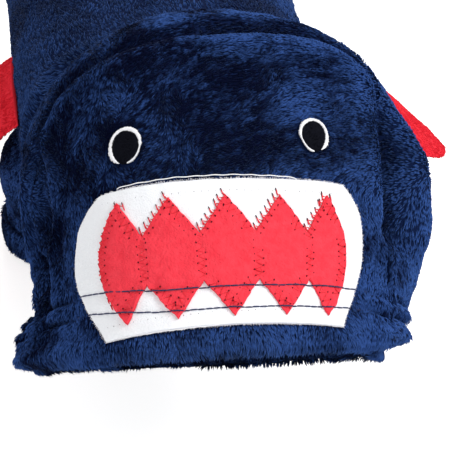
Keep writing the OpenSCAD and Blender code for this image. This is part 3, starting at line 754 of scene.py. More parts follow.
def zigzag_runs():
    """Runs of zigzag over the red felt: points, and directions out of the felt."""
    runs = []
    heights = (-15, -10, -5, 0, 5, 10, 15)
    for i, middle in enumerate(PEAKS):
        low, top = (middle, -PEAK_DOWN), (middle, PEAK_UP)
        first, last = i == 0, i == len(PEAKS) - 1
        rise = [felt_end(-1, t) for t in heights] if first else [(NOTCHES[i - 1], NOTCH_UP)]
        fall = [felt_end(1, t) for t in heights[::-1]] if last else [(NOTCHES[i], NOTCH_UP)]
        runs += [(rise + [top], END_INSIDE if first else ASTRIDE), ([top] + fall, INSIDE)]
        if not first:
            runs.append(([low, (NOTCHES[i - 1], -NOTCH_DOWN)], INSIDE))
        if not last:
            runs.append(([(NOTCHES[i], -NOTCH_DOWN), low], INSIDE))
    runs += [([(x, NOTCH_UP - 1), (x, 1 - NOTCH_DOWN)], 0.0) for x in NOTCHES]
    out = []
    for line, inset in runs:
        q, across = resample(line, ZIGZAG_STEP)
        # an inset line stops short of the corners
        keep = np.ones(len(q), bool)
        if inset == INSIDE and len(line) == 2:
            skip = round(INSIDE / ZIGZAG_STEP)
            keep[:skip] = keep[-skip:] = False
        out.append((q[keep] - across[keep] * inset, across[keep]))
    return out


seams = zigzag_runs()
seam_points = np.concatenate([s[0] for s in seams])


def pulled(s, t):
    """How much the zigzag draws the red felt down near it."""
    d = np.min(np.hypot(s[..., None] - seam_points[:, 0], t[..., None] - seam_points[:, 1]), -1)
    return 0.32 * bell(d, 0, 1.7)


c, r = np.meshgrid(spread(210), spread(110))
s, t = patch_spot(c, r)
edge = np.minimum(patch_half(s, t) - np.abs(s), np.where(t > 0, patch_top(c) - t, patch_foot(c) + t))
st = np.stack([s, t], -1)
uneven = 0.06 * noise(st, 7, 12) + 0.03 * noise(st, 2.4, 13)
top, n = face(s, t, PATCH_TOP + uneven - rounded(edge, PATCH_TOP - PATCH_LOW))
low, n = face(s, t, PATCH_LOW)
patch = placed(shell("mouth_patch_felt", top, low, white_felt), "hood", "white_felt", "mouth_patch")

end_cols = np.linspace(LAST, FELT_HALF - 0.15, 26)
cols = np.concatenate([-end_cols[::-1], np.linspace(-LAST, LAST, 237), PEAKS, NOTCHES, end_cols])
cols = np.unique(cols)
low_t, top_t = felt_edges(cols)
r = (spread(56)[:, None] + 1) / 2
t = mix(low_t, top_t, r)
s = np.broadcast_to(cols, t.shape)
s = s + 0.18 * noise(np.stack([s, t], -1), 3.5, 14) * (np.abs(2 * r - 1) > 0.9)
edge = np.minimum(np.minimum(t - low_t, top_t - t), FELT_HALF - np.abs(s))
st = np.stack([s, t], -1)
puff = 0.25 * noise(st, 9, 15) + 0.06 * noise(st, 2.0, 16)
top, n = face(s, t, FELT_TOP + puff - pulled(s, t) - rounded(edge, FELT_TOP - FELT_LOW, 0.6))
low, n = face(s, t, FELT_LOW - 0.1)
teeth = placed(shell("mouth_teeth_felt", top, low, red_felt), "hood", "red_felt", "mouth_felt")


# ---- stitching ---------------------------------------------------------------

def sewn_top(s, t):
    """Lift of the uppermost face, with the red felt drawn down at its zigzag."""
    return cloth_top(s, t) - np.where(in_felt(s, t), pulled(s, t), 0)


def stitched(name, start, end, radius, material, slot, rise=0.28, sink=0.35, points=6):
    """Threads from start to end on the face, both in s and t; they dip into the cloth at both ends."""
    u = np.linspace(0, 1, points)[None, :, None]
    st = start[:, None] * (1 - u) + end[:, None] * u
    s, t = st[..., 0], st[..., 1]
    q, n = face(s, t, sewn_top(s, t) - sink + (sink + rise) * np.sin(np.pi * u[..., 0]) ** 0.4)
    placed(threads(name, q, n, radius, material), "hood", slot)


def knots_at(name, st, size, lift, material, slot):
    """Small sunk knots of the under-thread at the needle holes."""
    u = np.linspace(-0.5, 0.5, 3)[None, :, None] * size
    r = np.random.default_rng(len(st))
    turn = r.uniform(-0.6, 0.6, len(st))
    way = np.stack([np.sin(turn), np.cos(turn)], -1)[:, None]
    st = st[:, None] + u * way
    s, t = st[..., 0], st[..., 1]
    q, n = face(s, t, sewn_top(s, t) + lift)
    radius = size * 0.42 * r.uniform(0.7, 1.15, len(s))
    placed(threads(name, q, n, radius, material, ends=0.4), "hood", slot)


r = np.random.default_rng(5)
zig, zag = [], []
for q, across in seams:
    n = len(q)
    side = np.where(np.arange(n) % 2, 0.5, -0.5)[:, None] * ZIGZAG_W
    pins = q + across * side + r.normal(0, 0.15, (n, 2))
    zig.append(pins[:-1])
    zag.append(pins[1:])
zig, zag = np.concatenate(zig), np.concatenate(zag)
stitched("mouth_zigzag", zig, zag, 0.17, red_thread, "red_felt", rise=0.04)
holes = np.unique(np.concatenate([zig, zag]).round(4), axis=0)
on_felt = in_felt(holes[:, 0], holes[:, 1], 0.25)
knots_at("mouth_zigzag_knots", holes[on_felt], 0.58, 0.08, knot_thread, "black_thread")

# where the zigzag reaches past the red felt, its threads and the dark under-thread stand proud on the white
proud = holes[~on_felt & in_patch(holes[:, 0], holes[:, 1], 1.0)]
reach = np.stack([-0.3 + r.uniform(-0.3, 0.3, len(proud)), r.uniform(0.4, 1.5, len(proud))], -1) \
    * (1 - 0.7 * (proud[:, :1] < -LAST - 1))
stitched("mouth_zigzag_ends", proud + reach, proud + (0.4, -1.5), 0.22, red_thread, "red_felt", rise=0.3,
         sink=0.1)
stitched("mouth_zigzag_tips", proud + reach * 1.15 + (-0.1, 0.15), proud - (0.0, 0.2), 0.19, knot_thread,
         "black_thread", rise=0.34, sink=0.1, points=4)

# rows of needle holes inside the patch's top and bottom edges
for name, edge_t, s0, s1 in (("top", lambda s: patch_top(s / 58) - 4.2, -44.0, 44.0),
                             ("bottom", lambda s: 4.5 - patch_foot(s / 52), -46.0, 42.0)):
    at = np.arange(s0, s1, 2.55)
    at = at + r.normal(0, 0.12, len(at))
    row = np.stack([at, edge_t(at) + r.normal(0, 0.1, len(at))], -1)
    row = row[~in_felt(row[:, 0], row[:, 1], -0.4)]
    knots_at("patch_holes_" + name, row, 0.34, -0.03, knot_thread, "black_thread")


def float_line(name, s0, s1, off, side, radius):
    """Loose white thread of the patch's overlocked edge, along its top or its bottom."""
    u = np.linspace(0, 1, 260)
    s = mix(s0, s1, u)
    out = off * np.sin(np.pi * u) ** 0.5 + 0.07 * np.sin(u * 61) + 0.06 * np.sin(u * 23)
    t = side * ((patch_top(s / 58) if side > 0 else patch_foot(s / 52)) + out - 0.1)
    q, n = face(s, t, 1.5 + 0.12 * np.sin(u * 61 + 1) - 0.25 * (np.abs(2 * u - 1) > 0.97))
    placed(threads(name, q[None], n[None], radius, white_thread), "hood", "white_thread")


float_line("patch_edge_float", -38.0, 27.0, 1.3, 1, 0.19)
float_line("patch_edge_float_low", -43.0, -6.0, 0.45, -1, 0.18)


def outline_of_patch(count):
    """Points round the patch's edge."""
    a, one = np.linspace(-1, 1, 400), np.ones(400)
    edges = [patch_spot(a, one), patch_spot(one, -a), patch_spot(-a, -one), patch_spot(-one, a)]
    return resample(np.concatenate([np.stack(e, -1) for e in edges]), 400 / count, closed=True)[0]


# loose fibres of the patch's cut edge
q = outline_of_patch(1500)
r = np.random.default_rng(9)
q = q[r.uniform(0, 1, len(q)) < 0.8]
s, t = q[:, 0], q[:, 1]
away = unit(np.stack([s * 0.012 * np.abs(s) ** 1.2, t * 0.9], -1) + r.normal(0, 0.35, (len(s), 2)))
at, n = face(s, t, 0.7 + r.uniform(0, 0.8, len(s)))
along = unit(face(s + away[:, 0], t + away[:, 1], 0.9)[0] - at) + n * r.normal(0.1, 0.25, (len(s), 1))
length, width, tone = [r.uniform(low, high, len(s)) for low, high in ((0.35, 0.95), (0.12, 0.22), (0.3, 1))]
tufts("patch_edge_fuzz", at, n, along, length, width, tone, white_fuzz, "hood", "white_felt", sink=0.2)

# topstitch rows that hold the elastic, all round the face edge
for k, name in enumerate(("outer", "inner")):
    p = np.linspace(-90, 270, 2400)
    run = run_along(hood(rows_at(around(p, 90) + 90)[k], p)[0])
    p = np.interp(stitch_places(run, 0.02, 6), run, p)
    b = rows_at(around(p, 90) + 90)[k] + np.random.default_rng(70 + k).normal(0, 0.03, (len(p), 1))
    s, t = face_place(b, p)
    q, n, fore = hood(b, p)
    arch = np.sin(np.pi * np.linspace(0, 1, 6)) ** 0.5
    on_patch = in_patch(s, t) & (np.abs(around(p, 90)) < 60)
    lift = np.where(on_patch, cloth_top(s, t), -0.2) + 0.3 * arch - 0.06
    row = threads("face_edge_topstitch_" + name, q + n * lift[..., None], n, 0.26, navy_thread, ends=0.8)
    placed(row, "hood", "navy_plush")


# ---- eyes --------------------------------------------------------------------

def ring_width(a):
    """Width of the white satin ring at angle a in the eye's frame. It is worn away low down."""
    parts = ((0.55, 100, 40), (0.75, -48, 26), (-0.6, 190, 34), (-1.4, 258, 26), (-0.35, 170, 8))
    return 0.95 + sum(more * bell(around(a, at), 0, width) for more, at, width in parts)


def eye_threads(name, side, uv, lift, radius, material, slot, *nodes):
    """Threads of an eye, along rows of points in the eye's own frame."""
    q, n = face(*eye_spot(side, uv[..., 0], uv[..., 1]), lift)
    placed(threads(name, q, n, radius, material), "hood", slot, *nodes)


for side, name in ((-1, "right"), (1, "left")):
    a = np.arange(0, 360, 6.0)
    rings = []
    for share, lift in ((1.0, 0.05), (1.0, 0.8), (0.96, 1.0), (0.7, 1.18), (0.35, 1.27)):
        u, v = cosd(a) * (EYE_RX - 0.9) * share, sind(a) * (EYE_RY - 0.9) * share
        rings.append(face(*eye_spot(side, u, v), lift)[0])
    pad = lofted("eye_pad_" + name, np.array(rings), black_thread)
    placed(pad, "hood", "black_thread", "eye_pupil_" + name)
    # satin rows of the pupil, each in two stitches
    r = np.random.default_rng(80 + side)
    rx, ry, slant = EYE_RX - 0.75, EYE_RY - 0.75, math.tan(math.radians(14)) / 2
    v = np.arange(-0.97, 0.975, 0.34 / ry)
    half = np.sqrt(1 - v * v)
    breaks = r.uniform(-0.55, 0.1, len(v)) * half
    share = np.linspace(0, 1, 7)
    x = rx * mix(np.append(-half, breaks)[:, None], np.append(breaks, half)[:, None], share)
    uv = np.stack([x, np.tile(v, 2)[:, None] * ry + x * slant], -1)
    crown = np.clip(1 - (uv[..., 0] / rx) ** 2 - (uv[..., 1] / ry) ** 2, 0, 1)
    lift = 0.75 + 0.6 * np.sqrt(crown) + 0.14 * np.sin(np.pi * share) + r.normal(0, 0.03, (len(uv), 1))
    eye_threads("eye_satin_" + name, side, uv, lift, 0.2, black_thread, "black_thread")
    # satin ring, each stitch across it
    a = np.arange(0, 360, 3.2)
    a = a[ring_width(a) > 0.12]
    wide = ring_width(a) * r.uniform(0.72, 1.32, len(a))
    middle = np.stack([cosd(a) * (EYE_RX - 0.62), sind(a) * (EYE_RY - 0.62)], -1)
    out = unit(np.stack([cosd(a) / EYE_RX, sind(a) / EYE_RY], -1))
    lean = np.stack([-out[:, 1], out[:, 0]], -1) * 0.32
    share = np.linspace(-0.5, 0.5, 6)
    uv = middle[:, None] + (out * wide[:, None] + lean)[:, None] * share[:, None]
    eye_threads("eye_ring_satin_" + name, side, uv, 0.6 + 0.75 * np.sqrt(1 - (2 * share) ** 2 * 0.95), 0.21,
                white_thread, "white_thread", "eye_ring_" + name)


# ---- pile --------------------------------------------------------------------

def brushing_and_sheen(q, nap, seed, wide=2.4, long=13.0, patch=24.0):
    """Light and dark of the pile's brushing marks, painted into its tone as sheen: streaks along the nap, and
    broad patches where it was stroked different ways.
    """
    nap = unit(nap)
    stretched = (q - nap * (q * nap).sum(-1, keepdims=True) * (1 - wide / long)) / wide
    return (0.5 + 0.36 * noise(q, patch, seed) + 0.26 * noise(stretched, 1.6, seed + 1)
            + 0.14 * noise(q, 6.5, seed + 2))


def pile(name, q, n, nap, tone, body, seed, length=2.5, width=0.56, lie=0.18, material=navy_pile,
         slot="navy_plush"):
    """Tufts at points q on a cloth, lying along nap and standing off by lie."""
    n = unit(n)
    r = np.random.default_rng(seed)
    count = len(q)
    nap = unit(nap - n * (nap * n).sum(-1, keepdims=True))
    stand = np.maximum(lie + 0.10 * noise(q, 10, seed + 5) + r.normal(0, 0.06, count), 0.12)
    along = nap + n * stand[:, None] + np.cross(n, nap) * r.normal(0, 0.11, count)[:, None]
    tone = np.clip(tone + r.normal(0, 0.07, count), 0, 1)
    length, width = length * r.uniform(0.75, 1.2, count), width * r.uniform(0.75, 1.25, count)
    tufts(name, q, n, along, length, width, tone, material, body, slot)


def hood_nap(q, n, fore, s, t):
    """Lie of the hood's pile: towards the face edge, stroked sideways over the eyes."""
    across = unit(np.cross(fore, n))
    high = ease(t, 14, 34)
    sideways = (0.5 + 0.8 * np.tanh((s + 20) / 50)) * high * (1 - 0.5 * ease(np.abs(s), 60, 95))
    wander = noise(q, 26, 3) * 0.45 + noise(q, 8, 4) * 0.2
    return unit(fore * (1 - 0.6 * high)[..., None] + across * (sideways + wander)[..., None])


def hood_pile(name, grid, count, seed, length=2.5, lie=0.18):
    """The hood's pile. Its tone carries painted light and shade where the photo shows the pile light or dark:
    lit down one side, towards the face edge, on the seam's ridge and on the folds' tops; shaded over the
    face's middle, down the other side, behind the seam and in the folds' hollows. Its brushing marks are
    painted sheen.
    """
    q, n, fore, b, p = scatter(grid, count, seed)
    s, t = face_place(b, p)
    front = np.abs(around(p, 90)) < 75
    bare = front & (in_patch(s, t, 0.35) | in_eye(s, t))
    q, n, fore, b, p, s, t, front = kept(~bare, (q, n, fore, b, p, s, t, front))
    nap = hood_nap(q, n, fore, s, t)
    low, high = rows_at(around(p, 90) + 90)
    pressed = bell(b, low, 0.4) + bell(b, high, 0.4)
    relief = np.clip(folds(b, p) - slack(b, p), -7, 3)
    near = past_seam(b, p)
    # painted light and shade: lit down one side, high on it near the crown, towards the face edge and on the seam's     ridge; dark over the face's middle, down the other side and in the band behind the seam
    lit = (0.58 * bell(around(p, 22), 0, 26) + 0.15 * bell(around(p, 60), 0, 16) * bell(b, 96, 6)
           + 0.2 * ease(b, 130, 135) + 0.2 * (b > HEM) + 0.22 * bell(near, 1.6, 1.0))
    dark = (0.52 * front * bell(s, -12, 44) * bell(t, 48, 34) + 0.2 * bell(around(p, 165), 0, 30)
            + 0.4 * bell(near, -1.5, 1.3))
    # the folds' relief adds painted light on their tops and painted shade in their hollows; the brushing
    # marks add painted sheen
    tone = brushing_and_sheen(q, nap, 300) + lit - dark + np.where(relief > 0, 0.08, 0.13) * relief
    size = length * (1 - 0.25 * np.clip(pressed, 0, 1)) * (1 + 0.35 * ease(b, 133.5, 136.5))
    pile(name, q, n, nap, tone, "hood", seed, length=size, lie=lie)


hood_pile("hood_pile_face", face_grid, 46000, 21)
hood_pile("hood_pile_left", side_grids["left"], 27000, 31)
hood_pile("hood_pile_right", side_grids["right"], 27000, 41)
hood_pile("hood_pile_edge", hem_grid, 17000, 46, length=2.7, lie=0.26)


# ---- body --------------------------------------------------------------------
CHEST_W, LOIN_W, CHEST_H, LOIN_H, DROP = 128.0, 118.0, 104.0, 88.0, 12.0
CHEST_Y, LOIN_Y, REAR_Y, REAR_LEAN = 52.0, 225.0, 246.0, 24.0
SHOULDER, STRAIGHT = 0.18, 0.85
SIDE_SEAM, CLOSE = 28.0, 272.0
NECK_BALL, COLLAR_FRONT, COLLAR_BACK = 50.0, 72.0, 127.0
COLLAR_R = NECK_BALL * sind(COLLAR_BACK)
COLLAR_REACH = -NECK_BALL * cosd(COLLAR_BACK)
SLEEVE = np.array([45.0, 84.0, -54.0])
SLEEVE_BALL, CUFF_R, SLEEVE_LEN = 26.0, 20.5, 34.0
GAP = 0.5


def body_ring(u):
    """Middle y and z, lean, half width and half height of the body's ring at u, from 0 at the neck to 1."""
    front = np.clip(u / SHOULDER, 0, 1)
    trunk = np.clip((u - SHOULDER) / (STRAIGHT - SHOULDER), 0, 1)
    rear = np.clip((u - STRAIGHT) / (1 - STRAIGHT), 0, None)
    swell = sind(90 * front)
    tilt = math.radians(NECK_TILT)
    y = mix(COLLAR_REACH * math.cos(tilt), CHEST_Y, front)
    y = y + (LOIN_Y - CHEST_Y) * trunk + (REAR_Y - LOIN_Y) * rear
    z = mix(-COLLAR_REACH * math.sin(tilt), -DROP, front)
    w = mix(COLLAR_R, CHEST_W / 2, swell) + (LOIN_W - CHEST_W) / 2 * trunk - 3 * rear
    h = mix(COLLAR_R, CHEST_H / 2, swell) + (LOIN_H - CHEST_H) / 2 * trunk - 2 * rear
    return y, z, np.radians(mix(NECK_TILT, 0, front) + REAR_LEAN * rear), w, h


def body_form(u, p):
    y, z, lean, w, h = body_ring(u)
    v = h * sind(p)
    return np.stack([w * cosd(p), y + v * np.sin(lean), z + v * np.cos(lean)], -1)


def form_normal(u, p):
    return unit(np.cross(body_form(u + 0.004, p) - body_form(u - 0.004, p),
                         body_form(u, p + 0.5) - body_form(u, p - 0.5)))


def body_folds(u, p):
    """How far the body's cloth stands off its cut form."""
    q = body_form(u, p)
    loose = ease(u, 0.06, 0.2) * (1 - ease(u, 0.85, 0.98))
    loose = loose * (0.25 + 0.75 * ease(np.abs(around(p, CLOSE)), 18, 40))
    k = loose * (1.1 * noise(q * np.array([1, 0.5, 1]), 60, 11) + 0.35 * noise(q, 24, 17))
    k = k + 0.8 * sind(p * 12 + 40) * bell(u, 0.12, 0.06)
    for at in (-SIDE_SEAM, 180 + SIDE_SEAM):
        k = k - 1.3 * bell(around(p, at), 0, 1.4) + 0.6 * bell(around(p, at), 0, 6)
    # slack drawn in towards the armholes
    for side in (-1, 1):
        reach = np.linalg.norm(q - SLEEVE * (side, 1, 1), axis=-1)
        k = k + 1.3 * bell(reach, 40, 8)
    return k - 0.9 * bell(u, 0.915, 0.010) + 0.5 * bell(u, 0.96, 0.03)


def body(u, p):
    """Points, normals and the direction towards the tail on the body's outer face."""
    u, p = np.broadcast_arrays(np.asarray(u, float), np.asarray(p, float))

    def cloth(u, p):
        return body_form(u, p) + form_normal(u, p) * body_folds(u, p)[..., None]

    back = cloth(u + 0.003, p) - cloth(u - 0.003, p)
    return cloth(u, p), unit(np.cross(back, cloth(u, p + 0.4) - cloth(u, p - 0.4))), unit(back)


def at_y(y):
    """Share u along the body at distance y from the neck."""
    return SHOULDER + (STRAIGHT - SHOULDER) * (y - CHEST_Y) / (LOIN_Y - CHEST_Y)


def belly_angle(x, u):
    """Side angle of the belly at distance x from the middle."""
    return 360 - np.degrees(np.arccos(x / body_ring(u)[3]))


def patch_of(u, p0, p1, cols):
    """Grid between side angles p0 and p1, which may change along u."""
    p0, p1 = [np.broadcast_to(np.asarray(x, float), u.shape)[:, None] for x in (p0, p1)]
    return np.broadcast_to(u[:, None], (len(u), cols)), mix(p0, p1, np.linspace(0, 1, cols))


polar, turn = np.linspace(0.05, math.pi - 0.05, 40)[:, None], np.arange(64) / 64 * 2 * math.pi
ball = np.stack([np.sin(polar) * np.cos(turn), np.sin(polar) * np.sin(turn), np.cos(polar) + 0 * turn], -1)
ball = ball * (SLEEVE_BALL + GAP)
armholes = [lofted("armhole", ball + SLEEVE * (side, 1, 1), navy_cloth_and_shade) for side in (-1, 1)]


def body_cloth(name, grids, node, flat, area):
    """One panel of the body, with the armholes cut out of it."""
    grids = [body(u, p) for u, p in grids]
    points, faces = [], []
    for q, n, back in grids:
        pts, quads_of = shell_parts(q, q - n * CLOTH)
        faces.append(quads_of + sum(map(len, points)))
        points.append(pts)
    ob = closed_mesh(name, np.concatenate(points), [np.concatenate(faces)], navy_cloth_and_shade)
    for hole in armholes:
        cut = ob.modifiers.new("cut", "BOOLEAN")
        cut.operation, cut.solver, cut.object = "DIFFERENCE", "MANIFOLD", hole
    solid(ob)
    placed(ob, "torso", "navy_plush", node)
    return grids


body_u = np.concatenate([np.linspace(0, SHOULDER, 26), np.linspace(SHOULDER, STRAIGHT, 90)[1:],
                         np.linspace(STRAIGHT, 1, 24)[1:]])
# the closing's slot between the belly panels, across x and along y
SLOT_X1 = CHEST_W / 2 * cosd(CLOSE)
SLOT_X0 = SLOT_X1 - 12
SLOT_Y0, SLOT_Y1 = 62.0, 195.0
u0, u1 = at_y(SLOT_Y0), at_y(SLOT_Y1)
mid_u = np.linspace(u0, u1, 64)
back_grids = body_cloth("back_cloth", [patch_of(body_u, -SIDE_SEAM, 180 + SIDE_SEAM, 170)], "back_panel",
                        *PANEL_SIZES["back"])
left_grids = body_cloth("belly_cloth_left", [patch_of(body_u, CLOSE, 360 - SIDE_SEAM, 54)],
                        "belly_panel_left", *PANEL_SIZES["belly_left"])
right_grids = body_cloth("belly_cloth_right", [
    patch_of(np.append(body_u[body_u < u0], u0 - 1e-4), 180 + SIDE_SEAM, CLOSE, 54),
    patch_of(mid_u, 180 + SIDE_SEAM, belly_angle(SLOT_X0, mid_u), 48),
    patch_of(np.append(u1 + 1e-4, body_u[body_u > u1]), 180 + SIDE_SEAM, CLOSE, 54)], "belly_panel_right",
    *PANEL_SIZES["belly_right"])
for hole in armholes:
    bpy.data.objects.remove(hole)


def body_pile(name, grid, count, seed, length=2.6):
    q, n, back = scatter(grid, count, seed)
    wander = noise(q, 24, 6) * 0.5 + noise(q, 8, 7) * 0.2
    nap = unit(back + np.cross(n, back) * wander[:, None])
    # none that would reach over an armhole
    away = np.ones(len(q), bool)
    for side in (-1, 1):
        for at in (q, q + nap * length * 0.6, q + nap * length * 1.2):
            away &= np.linalg.norm(at - SLEEVE * (side, 1, 1), axis=1) > SLEEVE_BALL + GAP + 0.5
    q, n, nap = kept(away, (q, n, nap))
    tone = 0.46 + 0.6 * (brushing_and_sheen(q, nap, 330, patch=45.0) - 0.5)
    pile(name, q, n, nap, tone, "torso", seed, length=length, width=0.62)


body_pile("pile_back", back_grids[0], 50000, 51)
body_pile("pile_belly_left", left_grids[0], 14000, 61)
for k, count in enumerate((2600, 9500, 3300)):
    body_pile(f"pile_belly_right_{k + 1}", right_grids[k], count, 71 + k)

# rear edge: the cloth folds in over a facing, with a row of topstitch; each row of the profile is a share
# along the body and a depth
ring_p = np.linspace(0, 360, 361)[:-1]
profile = [(0.995, 0.05)]
profile += [(1.0 + 0.012 * math.sin(a), 2.8 - 2.8 * math.cos(a)) for a in np.linspace(0, math.pi, 9)]
profile += [(0.97, 5.7), (0.93, 5.9), (0.905, 5.6), (0.902, 4.4), (0.905, 3.2), (0.95, 3.2)]
rings = []
for u, depth in profile:
    q, n, back = body(np.full(len(ring_p), min(u, 0.999)), ring_p)
    rings.append(q - n * depth + back * max(u - 0.999, 0) * 150)
rings = np.array(rings)
placed(band("rear_hem_fold", rings, navy_cloth_and_shade), "torso", "navy_plush", "rear_hem")
lip = rings[:8]
q, n, nap = scatter([lip, ring_normals(lip), unit(np.gradient(lip, axis=0))], 6000, 96)
pile("pile_rear_edge", q, n, nap, brushing_and_sheen(q, nap, 330), "torso", 97, length=2.6, lie=0.35)
q, n, back = body(np.full(600, 0.915), np.linspace(0, 360, 600))
stitch_row("rear_topstitch", q, n, 0.35, 0.26, "torso")


# ---- neck seam: three nested zones of balls about the neck centre ------------
HEAD_TURN = 20.0        # how far the head turns to each side
NECK_AXIS = np.array([0.0, -cosd(NECK_TILT), sind(NECK_TILT)])
NECK_UP = np.array([0.0, sind(NECK_TILT), cosd(NECK_TILT)])


def neck_point(radius, polar, turn):
    """Point on a ball about the neck centre, at an angle from the neck's axis and a turn round it."""
    out, polar, turn = sind(polar), np.radians(polar), np.radians(turn)
    x = (out * np.cos(turn))[..., None] * np.array([1.0, 0, 0])
    return radius * (x + (out * np.sin(turn))[..., None] * NECK_UP + np.cos(polar)[..., None] * NECK_AXIS)


def neck_zone(name, radius, wall, start, end, body, node):
    """Band of cloth on a ball, its two edges rounded."""
    turn = np.arange(0, 360, 1.5)
    half = wall / 2
    step = half * math.degrees(1 / radius)
    start, end = start + step, end - step
    bend = [(step * cosd(a), -half - half * sind(a)) for a in np.linspace(-90, 90, 6)[1:-1]]
    rows = [(t, 0.0) for t in np.linspace(start, end, 22)] + [(end + t, d) for t, d in bend]
    rows += [(t, -wall) for t in np.linspace(end, start, 22)] + [(start - t, d) for t, d in bend[::-1]]
    rings = np.array([neck_point(radius + d, np.full(len(turn), t), turn) for t, d in rows])
    placed(band(name, rings, navy_cloth_and_shade), body, "navy_plush", node)


# the collar's back edge is sewn in under the body's front edge
neck_zone("neck_collar_cloth", NECK_BALL, CLOTH, COLLAR_FRONT, COLLAR_BACK + 5, "torso", "neck_collar")
neck_zone("neck_tape_band", NECK_BALL + 2, 1.5, 83, 97, "neck", "neck_tape")
neck_zone("hood_back_edge", NECK_R, CLOTH, 90, 100, "hood", "hood_neck_edge")


def zone_pile(name, radius, start, end, body, count, seed, tape=None):
    """Pile on a band of a ball, but none where the tape slides over it as the head turns. The tape is given
    by how far it reaches from its axis, in degrees."""
    turn, polar = np.meshgrid(np.linspace(0, 360, 181), np.linspace(start, end, 12))
    q = neck_point(radius, polar, turn)
    n = unit(q)
    nap = unit(np.cross(np.cross(n, -NECK_AXIS), n))
    q, n, nap = scatter([q, n, nap], count, seed)
    if tape:
        free = np.ones(len(q), bool)
        for turned in (-HEAD_TURN, 0, HEAD_TURN):
            axis = np.array(Matrix.Rotation(math.radians(turned), 3, "Z")) @ NECK_AXIS
            free &= unit(q) @ axis < cosd(tape + 2.5)
        q, n, nap = kept(free, (q, n, nap))
    pile(name, q, n, nap, brushing_and_sheen(q, nap, 340), body, seed, length=1.9, width=0.5)


zone_pile("pile_collar", NECK_BALL, 99, 128, "torso", 9500, 101, tape=97)
zone_pile("pile_hood_back_edge", NECK_R, 90, 99, "hood", 4000, 103)


# ---- belly closing -----------------------------------------------------------
FLAP_W, FLAP_T, STRIP_W, STRIP_T, LAYER = 27.0, 2.4, 8.0, 0.9, 0.25
FLAP_X0, STRIP_X0 = SLOT_X0 - 3, SLOT_X1 + 1.2
OVER = LAYER / 2 + 2 * STRIP_T + 2 * LAYER


def belly_spot(x, u, lift):
    """Point and normal on the belly at x, lifted off its cut form, where the cloth lies flat."""
    u, x = np.broadcast_arrays(u, x)
    p = belly_angle(x, u)
    n = form_normal(u, p)
    return body_form(u, p) + n * np.broadcast_to(lift, u.shape)[..., None], n


def flap_lift(x):
    """The flap rises over the two tapes towards its free edge."""
    return mix(0.5, OVER + 0.15, ease(x, SLOT_X1 - 1.5, STRIP_X0 + 0.5))


def felted_edge(x, x0, x1, radius):
    """How far a thick cloth has thinned towards its edges at x0 and x1, from 1 to 0."""
    d = np.clip(np.minimum(x - x0, x1 - x) / radius, 0, 1)
    return np.sqrt(1 - (1 - d) ** 2)


flap_u = at_y(SLOT_Y0 - 4), at_y(SLOT_Y1 + 4)
fu = mix(*flap_u, (spread(140)[:, None] + 1) / 2)
fu, fx = np.broadcast_arrays(fu, FLAP_X0 + FLAP_W * (spread(60) + 1) / 2)
y_run = (fu - flap_u[0]) / (at_y(1) - at_y(0))
edge = felted_edge(fx, FLAP_X0, FLAP_X0 + FLAP_W, 1.4) * felted_edge(y_run, 0, y_run.max(), 1.4)
stitch_dent = 0.35 * (bell(fx, FLAP_X0 + FLAP_W - 3, 0.7) + bell(fx, FLAP_X0 + 1.8, 0.7))
middle = flap_lift(fx) + FLAP_T / 2
outer, flap_n = belly_spot(fx, fu, middle + FLAP_T / 2 * edge - stitch_dent)
inner, _ = belly_spot(fx, fu, middle - FLAP_T / 2 * edge)
FLAP_FOOT = belly_spot(FLAP_X0, at_y((SLOT_Y0 + SLOT_Y1) / 2), 0)[0]
FLAP_BEND = ("torso", "flap", tuple((FLAP_FOOT - (0.5, 0, 0)) * MM), tuple((FLAP_FOOT + (4, 0, 0)) * MM))
flap = placed(shell("belly_flap_cloth", outer, inner, navy_cloth_and_shade), FLAP_BEND, "navy_plush", "belly_flap")
q, n = scatter([outer, flap_n], 7000, 111)
nap = np.array([0, 1.0, 0.03]) + 0.2 * np.cross(n, [0, 1.0, 0]) * noise(q, 15, 2)[:, None]
pile("pile_flap", q, n, nap, brushing_and_sheen(q, np.array([[0, 1.0, 0]]), 330), FLAP_BEND, 112, length=2.0, width=0.5,
     lie=0.22)


def tape_spots(inset, rows, x):
    """Shares along the body and distances x over the closing tapes, kept off their ends by an inset."""
    u = np.linspace(at_y(SLOT_Y0 + inset), at_y(SLOT_Y1 - inset), rows)
    return np.meshgrid(u, STRIP_X0 + x, indexing="ij")


def strip(name, base, body, node, hooked):
    """Closing tape with its field of hooks or loops."""
    u, x = tape_spots(2, 90, STRIP_W * (spread(14) + 1) / 2)
    foot = base if hooked else base + 0.45
    weave = 0.04 * np.sin(x * 9) * np.sin(u * 700)
    tape = shell(name, belly_spot(x, u, foot + 0.45 + weave)[0], belly_spot(x, u, foot)[0], navy_cloth_and_shade)
    placed(tape, body, "closing_tape", node)
    u, x = tape_spots(3.5, 96, np.linspace(0.8, 7.2, 6))
    at, n = belly_spot(x.ravel(), u.ravel(), base + (0.4 if hooked else 0.5))
    # each thread's line: how far sideways and how far up
    if hooked:
        turn, up, thread = np.zeros(u.size), n, hook_plastic
        line = np.array([(0, 0), (0.02, 0.26), (0.16, 0.4), (0.36, 0.34), (0.42, 0.2)])
    else:
        turn, up, thread = np.random.default_rng(120).uniform(0, 2 * math.pi, u.size), -n, navy_thread
        line = np.array([(-0.3, 0), (-0.24, 0.3), (0, 0.42), (0.24, 0.3), (0.3, 0)])
    first = unit(np.cross(n, [1.0, 0, 0]))
    way = first * np.cos(turn)[:, None] + np.cross(first, n) * np.sin(turn)[:, None]
    paths = at[:, None] + way[:, None] * line[:, :1] + up[:, None] * line[:, 1:]
    title = name + ("_hooks" if hooked else "_loops")
    placed(threads(title, paths, np.cross(way, n)[:, None], 0.1, thread, sides=4), body, "closing_tape")


